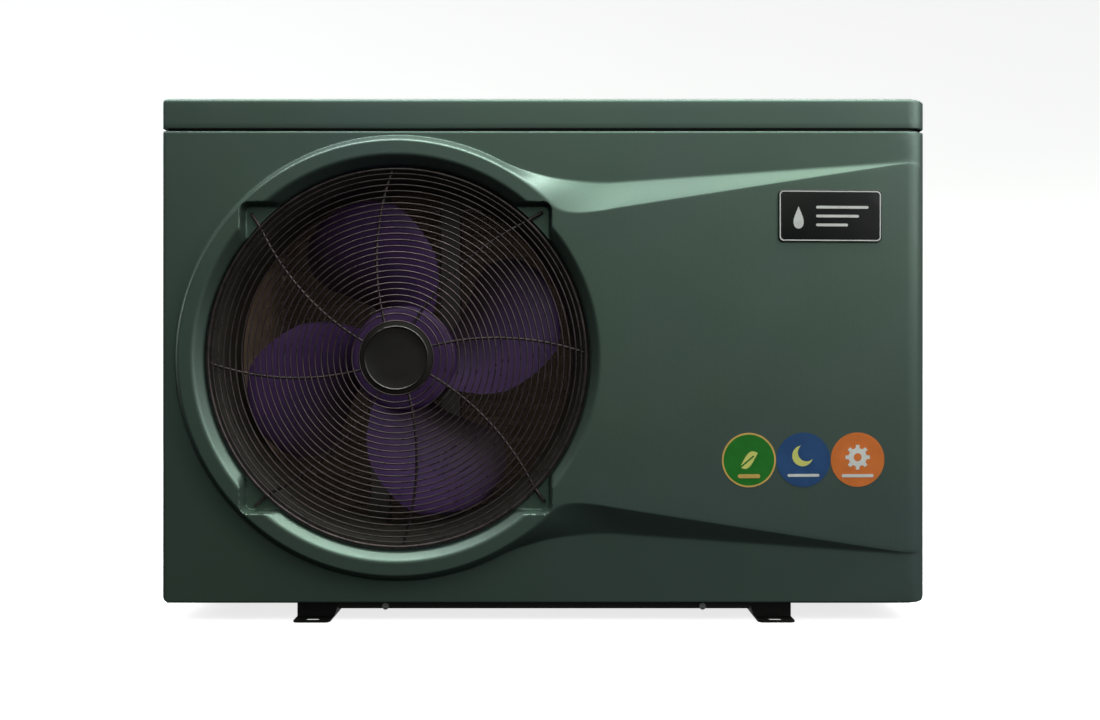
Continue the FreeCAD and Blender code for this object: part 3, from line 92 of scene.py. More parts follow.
class Soup:
    """Points and faces that several shapes are added to before they become one piece."""

    def __init__(self):
        self.verts = []
        self.faces = []
        self.slots = []

    def add(self, verts, faces, slot=0):
        start = sum(len(v) for v in self.verts)
        self.verts.append(np.asarray(verts, float).reshape(-1, 3))
        self.faces += [tuple(i + start for i in f) for f in faces]
        self.slots += [slot] * len(faces)

    def piece(self, name, material, **kw):
        obj = piece(name, np.vstack(self.verts), self.faces, material, **kw)
        if any(self.slots) and len(obj.data.polygons) == len(self.slots):
            obj.data.polygons.foreach_set("material_index", self.slots)
        return obj


def grid_faces(rows, cols, close_cols=False, close_rows=False):
    """Four-sided faces between the points of a grid, whose rows or columns may be closed rings."""
    faces = []
    for i in range(rows if close_rows else rows - 1):
        j_end = cols if close_cols else cols - 1
        a, b = i * cols, ((i + 1) % rows) * cols
        for j in range(j_end):
            k = (j + 1) % cols
            faces.append((a + j, a + k, b + k, b + j))
    return faces


def frames_along(path, closed=False):
    """Unit vectors square to each point of a path, kept from twisting."""
    path = np.asarray(path, float)
    if closed:
        tangent = np.roll(path, -1, 0) - np.roll(path, 1, 0)
    else:
        tangent = np.gradient(path, axis=0)
    tangent /= np.linalg.norm(tangent, axis=1)[:, None]
    side = np.cross(tangent[0], (0, 0, 1) if abs(tangent[0][2]) < 0.9 else (1, 0, 0))
    sides = []
    for t in tangent:
        side = side - t * np.dot(side, t)
        side = side / np.linalg.norm(side)
        sides.append(side)
    sides = np.array(sides)
    return sides, np.cross(tangent, sides)


def tube(path, radius, sides=10, closed=False):
    """Round bar along a path; radius may be one number or one per point."""
    path = np.asarray(path, float)
    u, v = frames_along(path, closed)
    r = np.broadcast_to(np.asarray(radius, float), (len(path),))[:, None, None]
    a = np.arange(sides) / sides * 2 * math.pi
    ring = np.cos(a)[None, :, None] * u[:, None] + np.sin(a)[None, :, None] * v[:, None]
    verts = (path[:, None] + ring * r).reshape(-1, 3)
    faces = grid_faces(len(path), sides, close_cols=True, close_rows=closed)
    if not closed:
        last = (len(path) - 1) * sides
        faces.append(tuple(reversed(range(sides))))
        faces.append(tuple(range(last, last + sides)))
    return verts, faces


def turned(profile, centre, axis="y", segments=96, closed=False):
    """Surface of revolution: profile holds (radius, place along the axis) pairs."""
    profile = np.asarray(profile, float)
    a = np.arange(segments) / segments * 2 * math.pi
    r, s = profile[:, 0][:, None], profile[:, 1][:, None]
    c, d = r * np.cos(a), r * np.sin(a)
    along = np.broadcast_to(s, c.shape)
    order = {"x": (along, c, d), "y": (d, along, c), "z": (c, d, along)}[axis]
    verts = np.stack(order, -1).reshape(-1, 3) + np.asarray(centre, float)
    faces = grid_faces(len(profile), segments, close_cols=True, close_rows=closed)
    if not closed:
        if profile[0][0] > 0:
            faces.append(tuple(reversed(range(segments))))
        if profile[-1][0] > 0:
            last = (len(profile) - 1) * segments
            faces.append(tuple(range(last, last + segments)))
    return verts, faces


def arc_points(cx, cy, radius, a0, a1, steps):
    a = np.radians(np.linspace(a0, a1, steps + 1))
    return [(cx + radius * math.cos(t), cy + radius * math.sin(t)) for t in a]


def rounded_loop(x0, x1, y0, y1, radii, steps=8):
    """Closed loop of points; radii are for the corners low-low, high-low, high-high and low-high."""
    r = [max(v, 0.05) for v in radii]
    loop = arc_points(x0 + r[0], y0 + r[0], r[0], 180, 270, steps)
    loop += arc_points(x1 - r[1], y0 + r[1], r[1], 270, 360, steps)
    loop += arc_points(x1 - r[2], y1 - r[2], r[2], 0, 90, steps)
    loop += arc_points(x0 + r[3], y1 - r[3], r[3], 90, 180, steps)
    return loop


def rounded_slab(x0, x1, y0, y1, z0, z1, radii, edge=1.0, steps=8, rolls=3, to=lambda x, y, z: (x, y, z)):
    """Plate with rounded corners and rolled upper and lower edges; to() turns it into place."""
    rows = []
    for k in range(rolls + 1):
        a = math.pi / 2 * k / rolls
        rows.append((edge * (1 - math.sin(a)), z0 + edge * (1 - math.cos(a))))
    for k in range(rolls + 1):
        a = math.pi / 2 * k / rolls
        rows.append((edge * (1 - math.cos(a)), z1 - edge * (1 - math.sin(a))))
    verts = []
    for inset, z in rows:
        loop = rounded_loop(x0 + inset, x1 - inset, y0 + inset, y1 - inset, [q - inset for q in radii], steps)
        verts += [to(x, y, z) for x, y in loop]
    return verts, capped(len(rows), 4 * (steps + 1))


def slab_x(y0, y1, z0, z1, x0, x1, radius, edge=0.01, steps=8, rolls=1):
    """Rounded plate square to X."""
    corners = (radius,) * 4
    return rounded_slab(y0, y1, z0, z1, x0, x1, corners, edge, steps, rolls, to=lambda a, b, c: (c, a, b))


def capped(rows, count):
    """Faces of closed loops stacked in rows, with a cap at each end."""
    return grid_faces(rows, count, close_cols=True) + [tuple(reversed(range(count))),
                                                       tuple(range((rows - 1) * count, rows * count))]


def smoothstep(share):
    share = np.clip(share, 0, 1)
    return share * share * (3 - 2 * share)


def turned_by(a, b, angle):
    """Point (a, b) turned anticlockwise about the origin by an angle in degrees."""
    turn = math.radians(angle)
    return a * math.cos(turn) - b * math.sin(turn), a * math.sin(turn) + b * math.cos(turn)


def boolean(target, cutters, operation="DIFFERENCE"):
    """Cut or join with Blender's exact solver, and keep the result as the piece's own mesh."""
    for verts, faces in cutters:
        mesh = bpy.data.meshes.new("cutter")
        mesh.from_pydata((np.asarray(verts, float) * MM).tolist(), [], [tuple(f) for f in faces])
        mesh.update()
        tool = bpy.data.objects.new("cutter", mesh)
        bpy.context.scene.collection.objects.link(tool)
        mod = target.modifiers.new("cut", "BOOLEAN")
        mod.operation = operation
        mod.solver = "EXACT"
        mod.object = tool
        apply_modifiers(target)
        bpy.data.objects.remove(tool)
    return target


def apply_modifiers(obj):
    graph = bpy.context.evaluated_depsgraph_get()
    graph.update()
    mesh = bpy.data.meshes.new_from_object(obj.evaluated_get(graph), depsgraph=graph)
    obj.modifiers.clear()
    obj.data = mesh
    mesh.polygons.foreach_set("use_smooth", [True] * len(mesh.polygons))
    mesh.set_sharp_from_angle(angle=math.radians(SHARP))


def thickened(obj, thickness):
    """Give an open skin its sheet thickness, inward."""
    mod = obj.modifiers.new("sheet", "SOLIDIFY")
    mod.thickness = thickness * MM
    mod.offset = -1.0


# ---------------------------------------------------------------- material helpers
class Nodes:
    """Short way to build a material's node tree."""

    def __init__(self, name):
        self.mat = bpy.data.materials.new(name)
        self.mat.use_nodes = True
        self.tree = self.mat.node_tree
        self.shader = self.tree.nodes["Principled BSDF"]
        self.where = self.tree.nodes.new("ShaderNodeTexCoord").outputs["Object"]

    def node(self, kind, inputs=None, **settings):
        made = self.tree.nodes.new(kind)
        for key, value in settings.items():
            setattr(made, key, value)
        for key, value in (inputs or {}).items():
            self.put(made.inputs[key], value)
        return made

    def put(self, socket, value):
        if isinstance(value, bpy.types.NodeSocket):
            self.tree.links.new(value, socket)
        else:
            socket.default_value = value

    def set(self, **values):
        for key, value in values.items():
            self.put(self.shader.inputs[key.replace("_", " ")], value)

    def noise(self, scale, detail, where=None):
        settings = {"Vector": where or self.where, "Scale": scale, "Detail": detail, "Roughness": 0.55}
        return self.node("ShaderNodeTexNoise", settings).outputs["Fac"]

    def stretched(self, x, y, z):
        made = self.node("ShaderNodeMapping", {"Vector": self.where, "Scale": (x, y, z)})
        return made.outputs["Vector"]

    def ramp(self, value, low, high, a=0.0, b=1.0):
        """Map value from the range low..high to the range a..b, clamped."""
        settings = {"Value": value, "From Min": low, "From Max": high, "To Min": a, "To Max": b}
        return self.node("ShaderNodeMapRange", settings).outputs["Result"]

    def mix(self, factor, a, b):
        made = self.node("ShaderNodeMix", data_type="RGBA")
        self.put(made.inputs["Factor"], factor)
        self.put(made.inputs[6], a)
        self.put(made.inputs[7], b)
        return made.outputs[2]

    def rough(self, value, low, high):
        self.set(Roughness=self.ramp(value, 0.3, 0.7, low, high))

    def bump(self, height, strength, distance, normal=None):
        made = self.node("ShaderNodeBump", {"Height": height, "Strength": strength, "Distance": distance})
        if normal is not None:
            self.put(made.inputs["Normal"], normal)
        return made.outputs["Normal"]


def rgb(r, g, b):
    return (r, g, b, 1.0)


def shade(colour, factor, lift=0.0):
    return rgb(*[min(1.0, c * factor + lift) for c in colour])


def paint_material():
    """Dark green pearl paint over a fine orange-peel texture, a little uneven in tone."""
    n = Nodes("pearl_green_paint")
    cloud = n.noise(3.2, 3.0)
    drift = n.noise(14.0, 4.0)
    flake = n.noise(2600.0, 1.0)
    peel = n.noise(520.0, 2.0)
    coarse = n.noise(1500.0, 2.0)
    base = n.mix(n.ramp(cloud, 0.35, 0.65), rgb(0.128, 0.196, 0.152), rgb(0.126, 0.184, 0.168))
    base = n.mix(n.ramp(flake, 0.58, 0.74, 0.0, 0.45), base, rgb(0.29, 0.40, 0.36))
    base = n.mix(n.ramp(drift, 0.3, 0.8, 0.0, 0.20), base, rgb(0.115, 0.155, 0.150))
    n.set(Base_Color=base, Metallic=0.72, Coat_Weight=0.06, Coat_Roughness=0.32)
    n.rough(drift, 0.40, 0.47)
    fine = n.bump(peel, 0.10, 0.0004)
    n.set(Normal=n.bump(coarse, 0.08, 0.0002, fine))
    return n.mat


def black_coat_material(name="black_powder_coat", tone=0.010, rough=0.42):
    n = Nodes(name)
    grain = n.noise(900.0, 3.0)
    blot = n.noise(22.0, 4.0)
    dark = rgb(tone, tone * 0.95, tone * 0.9)
    n.set(Base_Color=n.mix(n.ramp(blot, 0.4, 0.75, 0.0, 0.6), dark, rgb(tone * 2.0, tone * 1.9, tone * 1.7)))
    n.rough(blot, rough - 0.06, rough + 0.10)
    n.set(Normal=n.bump(grain, 0.22, 0.0002))
    return n.mat


def guard_coat_material():
    """Thin glossy coating of the guard wires, brown-grey where the light catches it."""
    n = Nodes("guard_wire_coat")
    wear = n.noise(60.0, 4.0)
    n.set(Base_Color=n.mix(n.ramp(wear, 0.35, 0.7), rgb(0.075, 0.056, 0.060), rgb(0.125, 0.094, 0.098)))
    n.set(Metallic=0.62, Roughness=n.ramp(wear, 0.3, 0.7, 0.24, 0.36))
    n.set(Normal=n.bump(n.noise(1100.0, 2.0), 0.10, 0.0001))
    return n.mat


def plastic_material(name, colour, rough=0.45, grain=700.0, strength=0.12):
    """Moulded plastic with a fine spark-eroded grain and slight flow marks."""
    n = Nodes(name)
    flow = n.noise(9.0, 3.0, where=n.stretched(1.0, 1.0, 2.5))
    spark = n.noise(grain, 2.0)
    vary = 0.15
    darker, lighter = shade(colour, 1 - vary), shade(colour, 1 + vary, 0.004)
    n.set(Base_Color=n.mix(n.ramp(flow, 0.35, 0.65), darker, lighter))
    n.rough(flow, rough - 0.04, rough + 0.05)
    n.set(Normal=n.bump(spark, strength, 0.0002))
    return n.mat


def metal_material(name, colour, rough=0.35, brushed=(1, 1, 60), strength=0.15):
    """Bare metal with drawn or rolled marks along one direction."""
    n = Nodes(name)
    marks = n.noise(40.0, 4.0, where=n.stretched(*brushed))
    stain = n.noise(14.0, 4.0)
    n.set(Base_Color=n.mix(n.ramp(stain, 0.35, 0.7), shade(colour, 0.78), shade(colour, 1.12)), Metallic=1.0)
    n.rough(marks, rough - 0.07, rough + 0.10)
    n.set(Normal=n.bump(marks, strength, 0.0002))
    return n.mat


def galvanised_material():
    """Zinc-coated sheet with faint spangle."""
    n = Nodes("galvanised_sheet")
    cells = n.node("ShaderNodeTexVoronoi", {"Vector": n.where, "Scale": 90.0})
    tint = n.noise(9.0, 3.0)
    spangle = n.ramp(cells.outputs["Distance"], 0.0, 0.9)
    grey = n.mix(spangle, rgb(0.30, 0.31, 0.32), rgb(0.44, 0.45, 0.47))
    n.set(Base_Color=n.mix(n.ramp(tint, 0.4, 0.8, 0.0, 0.5), grey, rgb(0.27, 0.27, 0.26)), Metallic=0.9)
    n.set(Roughness=n.ramp(cells.outputs["Distance"], 0.0, 0.8, 0.38, 0.55))
    return n.mat


def fan_material():
    """Indigo plastic of the impeller, rougher where its blades run deep into the mouth, and darkened there by
    painted shade.
    """
    n = Nodes("indigo_fan_plastic")
    depth = n.node("ShaderNodeSeparateXYZ", {"Vector": n.where}).outputs["Y"]
    # painted shade: this depth mask and the dark colour below darken the blades the deeper they sit in the
    # mouth
    depth_shade = n.ramp(depth, -0.132, -0.104)
    flow = n.noise(9.0, 3.0)
    clean = n.mix(n.ramp(flow, 0.35, 0.65), rgb(0.124, 0.056, 0.200), rgb(0.146, 0.068, 0.240))
    n.set(Base_Color=n.mix(depth_shade, clean, rgb(0.044, 0.022, 0.036)))
    n.set(Roughness=n.ramp(depth, -0.132, -0.104, 0.40, 0.66))
    n.set(Normal=n.bump(n.noise(500.0, 2.0), 0.08, 0.0002))
    return n.mat


PAINT = paint_material()
BLACK = black_coat_material()
GUARD = guard_coat_material()
SHROUD = plastic_material("shroud_black_plastic", (0.044, 0.037, 0.028), 0.5)
GALV = galvanised_material()
STEEL = metal_material("zinc_screw_steel", (0.55, 0.55, 0.56), 0.30)
COPPER = metal_material("copper_pipe", (0.62, 0.28, 0.16), 0.34, (60, 60, 1))
TUBE = black_coat_material("dull_coil_tube", 0.05, 0.6)
BRASS = metal_material("valve_brass", (0.60, 0.42, 0.16), 0.32, (60, 60, 1))
FIN = plastic_material("brown_fin_coat", (0.38, 0.29, 0.22), 0.6, 300.0, 0.08)
TITANIUM = metal_material("titanium_coil", (0.38, 0.36, 0.34), 0.30)
MOTOR = plastic_material("motor_overmould", (0.020, 0.020, 0.021), 0.5)
ROTOR = metal_material("rotor_laminations", (0.22, 0.22, 0.22), 0.45, (1, 120, 1))
COMPRESSOR = black_coat_material("compressor_enamel", 0.012, 0.28)
RUBBER = plastic_material("black_rubber", (0.018, 0.018, 0.018), 0.75, 300.0, 0.2)
FAN = fan_material()
GREY = plastic_material("grey_pvc", (0.13, 0.14, 0.15), 0.38, 420.0, 0.06)
BLUE = plastic_material("blue_pvc", (0.02, 0.075, 0.22), 0.36, 420.0, 0.06)
RED = plastic_material("red_pvc", (0.30, 0.022, 0.018), 0.36, 420.0, 0.06)
CONTROL = plastic_material("black_abs", (0.018, 0.018, 0.019), 0.5)
DISC = plastic_material("guard_disc_plastic", (0.014, 0.011, 0.010), 0.34, 500.0, 0.05)
KEYS = plastic_material("silicone_key", (0.10, 0.105, 0.11), 0.62, 300.0, 0.08)
BOARD = plastic_material("circuit_board_green", (0.014, 0.10, 0.035), 0.4)


def smoked_material():
    """Tinted see-through door of the controller."""
    n = Nodes("smoked_door")
    haze = n.noise(30.0, 3.0)
    n.set(Base_Color=rgb(0.05, 0.056, 0.062), Transmission_Weight=0.75, IOR=1.49, Alpha=0.92)
    n.rough(haze, 0.05, 0.12)
    return n.mat


def lens_material():
    n = Nodes("clear_gauge_lens")
    haze = n.noise(60.0, 3.0)
    n.set(Base_Color=rgb(0.95, 0.97, 0.97), Transmission_Weight=1.0, IOR=1.46, Alpha=0.35)
    n.rough(haze, 0.01, 0.05)
    return n.mat


def flat_print(name, colour, rough=0.35):
    """Printed film with a slight unevenness in tone and gloss."""
    n = Nodes(name)
    tone = n.noise(45.0, 3.0)
    dots = n.noise(1200.0, 1.0)
    n.set(Base_Color=n.mix(n.ramp(tone, 0.3, 0.7), shade(colour, 0.9), shade(colour, 1.1)))
    n.set(Roughness=n.ramp(tone, 0.3, 0.7, rough - 0.05, rough + 0.06), Coat_Weight=0.25, Coat_Roughness=0.15)
    n.set(Normal=n.bump(dots, 0.04, 0.0001))
    return n.mat


SMOKED = smoked_material()
LENS = lens_material()


# ---------------------------------------------------------------- raised face of the front panel
def half_outline(radius, end_angle, bend, bend_to, far):
    """Upper half of an outline round the fan, as points (x, height over the axis), from left to right."""
    arc_steps, bend_steps, line_steps, end_steps = 260, 24, 120, 80
    arc = [(FAN_X + radius * math.cos(a), radius * math.sin(a))
           for a in np.radians(np.linspace(180, end_angle, arc_steps))]
    knots = np.array([arc[-1]] + list(bend) + [bend_to], float)
    angle = math.radians(end_angle)
    slope = (far[1] - bend_to[1]) / (far[0] - bend_to[0])
    chord = np.linalg.norm(np.diff(knots, axis=0), axis=1)
    start = np.array([math.sin(angle), -math.cos(angle)])
    stop = np.array([1.0, slope]) / math.hypot(1.0, slope)
    place = np.r_[0.0, np.cumsum(chord)]
    tangents = [start] + [(knots[i + 1] - knots[i - 1]) / (place[i + 1] - place[i - 1])
                          for i in range(1, len(knots) - 1)] + [stop]
    curve = []
    for i in range(len(knots) - 1):
        span = chord[i]
        for t in np.linspace(0, 1, bend_steps)[1:]:
            h00, h10 = 2 * t**3 - 3 * t**2 + 1, t**3 - 2 * t**2 + t
            h01, h11 = -2 * t**3 + 3 * t**2, t**3 - t**2
            curve.append(h00 * knots[i] + h10 * span * tangents[i] + h01 * knots[i + 1]
                         + h11 * span * tangents[i + 1])
    line = [(x, bend_to[1] + slope * (x - bend_to[0]))
            for x in np.linspace(bend_to[0], far[0], line_steps)[1:]]
    end = [(far[0], z) for z in np.linspace(far[1], 0, end_steps)[1:]]
    return np.array(arc + [tuple(p) for p in curve] + line + end)


def reach_by_angle(outline):
    """Distance of the outline from the fan axis as a function of the angle, symmetric about the axis."""
    x, z = outline[:, 0] - FAN_X, outline[:, 1]
    angle, reach = np.arctan2(z, x), np.hypot(x, z)
    order = np.argsort(angle)
    return lambda a: np.interp(np.abs(a), angle[order], reach[order])


OUTER = reach_by_angle(half_outline(RISE_OUT_R, 62.0, ((-5, 228.5), (40, 220.8)), (90, 219.0), (470, 245.8)))
INNER = reach_by_angle(half_outline(RISE_IN_R, 44.5, ((24, 181.5), (45, 179.3)), (90, 183.8), (435, 209.0)))


def plane_height(x):
    return RISE * np.clip((WEDGE_TO_X - x) / (WEDGE_TO_X - WEDGE_FROM_X), 0, 1)


def soft_min(a, b, k):
    return np.minimum(a, b) - np.maximum(k - np.abs(a - b), 0) ** 2 / (4 * k)


def soft_max(a, b, k):
    return np.maximum(a, b) + np.maximum(k - np.abs(a - b), 0) ** 2 / (4 * k)


def face_height(x, z):
    """Height of the pressed face over the flat panel."""
    dx, dz = x - FAN_X, z - FAN_Z
    angle, s = np.arctan2(dz, dx), np.hypot(dx, dz)
    outer, inner = OUTER(angle), INNER(angle)
    steep = RISE / np.maximum(outer - inner, 1e-6)
    top = soft_min(plane_height(x), steep * (outer - s), CREST_ROUND * steep)
    return np.maximum(soft_max(top, 0.0, FOOT_SOFT), 0.0)


def notch_depth(x, z):
    """0 away from the square-cornered guard notches, 1 inside them, with a drafted wall between."""
    core = NOTCH_WALL - NOTCH_CORNER_R
    across, up = np.abs(x - FAN_X) - core, np.abs(z - FAN_Z) - core
    outside = np.hypot(np.maximum(across, 0), np.maximum(up, 0)) + np.minimum(np.maximum(across, up), 0)
    return smoothstep((NOTCH_CORNER_R + 0.8 - outside) / 3.4)


def edge_inset(angles, inset):
    """Distance from the fan axis to the panel's outline moved inward, with its rounded corners."""
    x0, x1 = -HALF_W + inset - FAN_X, HALF_W - inset - FAN_X
    z0, z1 = PANEL_LOW + inset - FAN_Z, PANEL_TOP - inset - FAN_Z
    c, s = np.cos(angles), np.sin(angles)

    def to_side(direction, low, high):
        safe = np.where(np.abs(direction) > 1e-9, direction, 1e-9)
        return np.where(safe > 0, high, low) / safe

    reach = np.minimum(to_side(c, x0, x1), to_side(s, z0, z1))
    for cx, cz, r in ((x0, z0, R_BOTTOM), (x1, z0, R_BOTTOM), (x0, z1, R_TOP), (x1, z1, R_TOP)):
        r = max(r - inset, 0.0)
        if r <= 0:
            continue
        ox, oz = cx + math.copysign(r, -cx), cz + math.copysign(r, -cz)
        b = ox * c + oz * s
        disc = b * b - (ox * ox + oz * oz - r * r)
        hit = b + np.sqrt(np.maximum(disc, 0))
        px, pz = hit * c, hit * s
        beyond = (disc > 0) & ((px - ox) * math.copysign(1, cx) > 0) & ((pz - oz) * math.copysign(1, cz) > 0)
        reach = np.where(beyond, np.minimum(reach, hit), reach)
    return reach


def ray_angles():
    """Directions of the panel's grid, closer together at the notches, the corners and the wedge."""
    coarse, fine, closest = 0.8, 0.26, 0.12
    angles = list(np.arange(-180, 180, coarse))
    for a in NOTCH_ANGLES:
        a = (a + 180) % 360 - 180
        angles += list(np.arange(a - 6.5, a + 6.5, fine))
    for a in (30, -30):
        angles += list(np.arange(a - 14, a + 14, coarse) + coarse / 2)
    corner_steps = np.array([0.35, 0.65, 0.95, 1.3, 1.7, 2.2])
    for cx, cz in ((-HALF_W, PANEL_LOW), (HALF_W, PANEL_LOW), (-HALF_W, PANEL_TOP), (HALF_W, PANEL_TOP)):
        exact = math.degrees(math.atan2(cz - FAN_Z, cx - FAN_X))
        angles += list(exact + np.r_[-corner_steps, 0, corner_steps])
    angles = np.sort(np.array(angles))
    keep = [angles[0]]
    for a in angles[1:]:
        if a - keep[-1] > closest:
            keep.append(a)
    if keep[0] + 360 - keep[-1] < closest:
        keep.pop()
    return np.radians(keep)


def corner_round(distance, radius):
    """How far a rounded edge falls back at a distance in from the side."""
    t = np.clip(radius - distance, 0, radius)
    return radius - np.sqrt(np.maximum(radius * radius - t * t, 0))


def panel_y(x, z):
    """Front surface of the panel: flat sheet, pressed face, notches, and the rounded edges."""
    plateau = -HALF_D - face_height(x, z)
    y = plateau + (NOTCH_FLOOR_Y - plateau) * notch_depth(x, z)
    y = y + corner_round(x + HALF_W, R_LEFT) + corner_round(HALF_W - x, R_RIGHT) * R_RIGHT_DEPTH / R_RIGHT
    return y + corner_round(PANEL_TOP - z, TOP_EDGE_R) + corner_round(z - PANEL_LOW, LOW_EDGE_R)


def front_panel():
    """Pressed front on a grid of rays from the fan axis: mouth, raised face, flat rim and folded edges."""
    angles = ray_angles()
    outer, inner = OUTER(angles), INNER(angles)
    c, s = np.cos(angles), np.sin(angles)
    lo, hi = inner.copy(), outer.copy()
    for _ in range(30):
        mid = (lo + hi) / 2
        above = RISE * (outer - mid) / (outer - inner) > plane_height(FAN_X + mid * c)
        lo, hi = np.where(above, mid, lo), np.where(above, hi, mid)
    crest = lo
    funnel = [(MOUTH_R, y) for y in (MOUTH_BACK_Y, -170, -174, -178, MOUTH_CONE_Y + 1.2)]
    funnel += [(MOUTH_R + 0.5, -183.0), (242.3, -185.3), (244.6, -188.2), (246.9, -191.1), (248.6, -193.3),
               (249.7, -194.5), (251.0, -195.5), (252.6, -195.95)]
    fixed = [np.full_like(angles, r) for r in np.linspace(254.2, 267.4, 12)]
    soft_out = FOOT_SOFT / (RISE / (outer - inner))
    beyond = np.maximum(crest - 268.5, 0)
    knots = fixed + [268.5 + beyond * f for f in (0.0, 0.5, 0.8, 0.92)]
    knots += [crest + CREST_ROUND * f for f in (-1.0, -0.6, -0.2, 0.2, 0.6, 1.0)]
    gap = np.maximum(outer - crest, 0)
    knots += [crest + gap * f for f in (0.3, 0.5, 0.7)]
    knots += [outer + soft_out * f for f in (-1.0, -0.5, 0.0, 0.5, 1.0)]
    knots += [outer + 3.0]
    border = edge_inset(angles, 0.0)
    knots += [outer + (edge_inset(angles, 30.0) - outer) * f for f in (0.15, 0.4, 0.7)]
    knots += [edge_inset(angles, d) for d in (26, 21, 16.5, 12.5, 9, 6.2, 4.2, 2.8, 1.7, 0.9, 0.35, 0.0)]
    knots = np.array(knots)
    knots = np.clip(knots, 253.6, border[None, :])
    knots = np.sort(knots, axis=0)
    rows = [np.stack([FAN_X + r * c, np.full_like(c, y), FAN_Z + r * s], -1) for r, y in funnel]
    for row, (r, y) in zip(rows, funnel):
        share = notch_depth(row[:, 0], row[:, 2])
        row[:, 1] = np.where(row[:, 1] < NOTCH_FLOOR_Y, y + (NOTCH_FLOOR_Y - y) * share, y)
    for k in knots:
        x, z = FAN_X + k * c, FAN_Z + k * s
        rows.append(np.stack([x, panel_y(x, z), z], -1))
    rows += panel_returns(rows[-1])
    grid = np.array(rows)
    n = len(angles)
    faces = [tuple(reversed(f)) for f in grid_faces(len(rows), n, close_cols=True)]
    obj = piece("front_panel_skin", grid.reshape(-1, 3), faces, PAINT, slot="painted_steel",
                replaces=["front_panel"], sharp=50.0)
    thickened(obj, 1.6)


def panel_returns(rim):
    """Rows that carry the rim back to the folded edges at the sides and the top."""
    x, z = rim[:, 0], rim[:, 2]
    end = np.full_like(x, -HALF_D + SHEET + 1.5)
    end = np.where(x < -HALF_W + 0.6, -160.0, end)
    end = np.where(x > HALF_W - 0.6, -150.0, end)
    end = np.where(z > PANEL_TOP - 0.6, -162.0, end)
    end = np.maximum(end, rim[:, 1] + 0.4)
    rows = []
    for f in (0.06, 0.4, 1.0):
        row = rim.copy()
        row[:, 1] = rim[:, 1] + (end - rim[:, 1]) * f
        rows.append(row)
    return rows


# ---------------------------------------------------------------- lid, sides and back
def lid():
    """Pressed lid: upright skirt, rolled upper edge, slightly crowned top and a small lower bead."""
    rows = []
    left, right = 11.0, 17.0
    roll_depth, roll_height = 3.8, 5.5
    corner = (R_LEFT, R_RIGHT, R_RIGHT, R_LEFT)
    shallow = R_RIGHT_DEPTH / R_RIGHT

    def add(il, ir, iy, z):
        radii = [max(r - max(i, iy), 0.3) for r, i in zip(corner, (il, ir, ir, il))]
        front = -HALF_D + iy
        row = []
        for x, y in rounded_loop(-HALF_W + il, HALF_W - ir, front, HALF_D - iy, radii, 14):
            at_corner = x > HALF_W - R_RIGHT and y < front + R_RIGHT
            row.append((x, front + (y - front) * shallow if at_corner else y, z))
        rows.append(row)

    bead = ((2.2, 2.0), (2.2, 0.5), (1.6, 0.0), (0.6, 0.05), (0.15, 0.5), (0.0, 1.2), (0.0, 8), (0.0, 16))
    for inset, up in bead:
        add(inset, inset, inset, LID_LOW + up)
    add(0.0, 0.0, 0.0, LID_TOP - 18)
    rise = LID_TOP - 1.2
    for a in math.pi / 2 * np.arange(13) / 12:
        back = 1 - math.cos(a)
        add(left * back, right * back, roll_depth * back, rise - roll_height * (1 - math.sin(a)))
    for d, dz in ((22, 0.25), (45, 0.6), (90, 0.95), (140, 1.15), (170, 1.2)):
        add(d + 4, d + 4, d, rise + dz)
    n = len(rows[0])
    faces = grid_faces(len(rows), n, close_cols=True)
    faces.append(tuple(range((len(rows) - 1) * n, len(rows) * n)))
    skin = piece("lid_skin", rows, faces, PAINT, slot="painted_steel", replaces=["top_lid"], sharp=40.0)
    thickened(skin, 1.6)
    gasket = rounded_slab(-HALF_W + 3, HALF_W - 3, -HALF_D + 3, HALF_D - 3, PANEL_TOP, LID_LOW + 1.8,
                          (9, 22, 22, 9), 0.2, 10)
    piece("lid_gasket", *gasket, BLACK)


def sheet_path(x_end, y_start, side):
    """Outer line of a side panel in plan, from its front edge round the rear corner."""
    radius = R_LEFT if side < 0 else R_RIGHT
    x = side * HALF_W
    cx, cy = x - side * radius, HALF_D - radius
    points = [(x, y) for y in np.linspace(y_start, cy, 10)]
    arc = arc_points(cx, cy, radius, 180 if side < 0 else 0, 90, 12)
    points += arc[1:]
    points += [(xx, HALF_D) for xx in np.linspace(arc[-1][0], x_end, 4)[1:]]
    return np.array(points)


def folded_sheet(name, path, inward, cutters, **kw):
    """Upright painted sheet of the panels' height along a plan line, with its openings cut out."""
    path = np.asarray(path, float)
    along = np.gradient(path, axis=0)
    along /= np.linalg.norm(along, axis=1)[:, None]
    normal = np.stack([-along[:, 1], along[:, 0]], -1) * inward
    inner = path + normal * SHEET
    ring = np.vstack([path, inner[::-1]])
    e = 0.5
    verts = []
    for z, pull in ((PANEL_LOW, e), (PANEL_LOW + e, 0), (PANEL_TOP - e, 0), (PANEL_TOP, e)):
        shift = np.vstack([normal * pull, -normal[::-1] * pull])
        verts += [(x, y, z) for x, y in ring + shift]
    faces = capped(4, len(ring))
    if inward > 0:
        faces = [tuple(reversed(f)) for f in faces]
    return boolean(piece(name, verts, faces, PAINT, slot="painted_steel", **kw), cutters)


def left_side():
    """Left side panel with the coil's window."""
    path = sheet_path(-440.0, -159.5, -1)
    window = slab_x(-110, 140, 70, 575, -490, -465, 12, CUTTER_EDGE)
    folded_sheet("left_side_skin", path, -1, [window], replaces=["left_side_panel"])


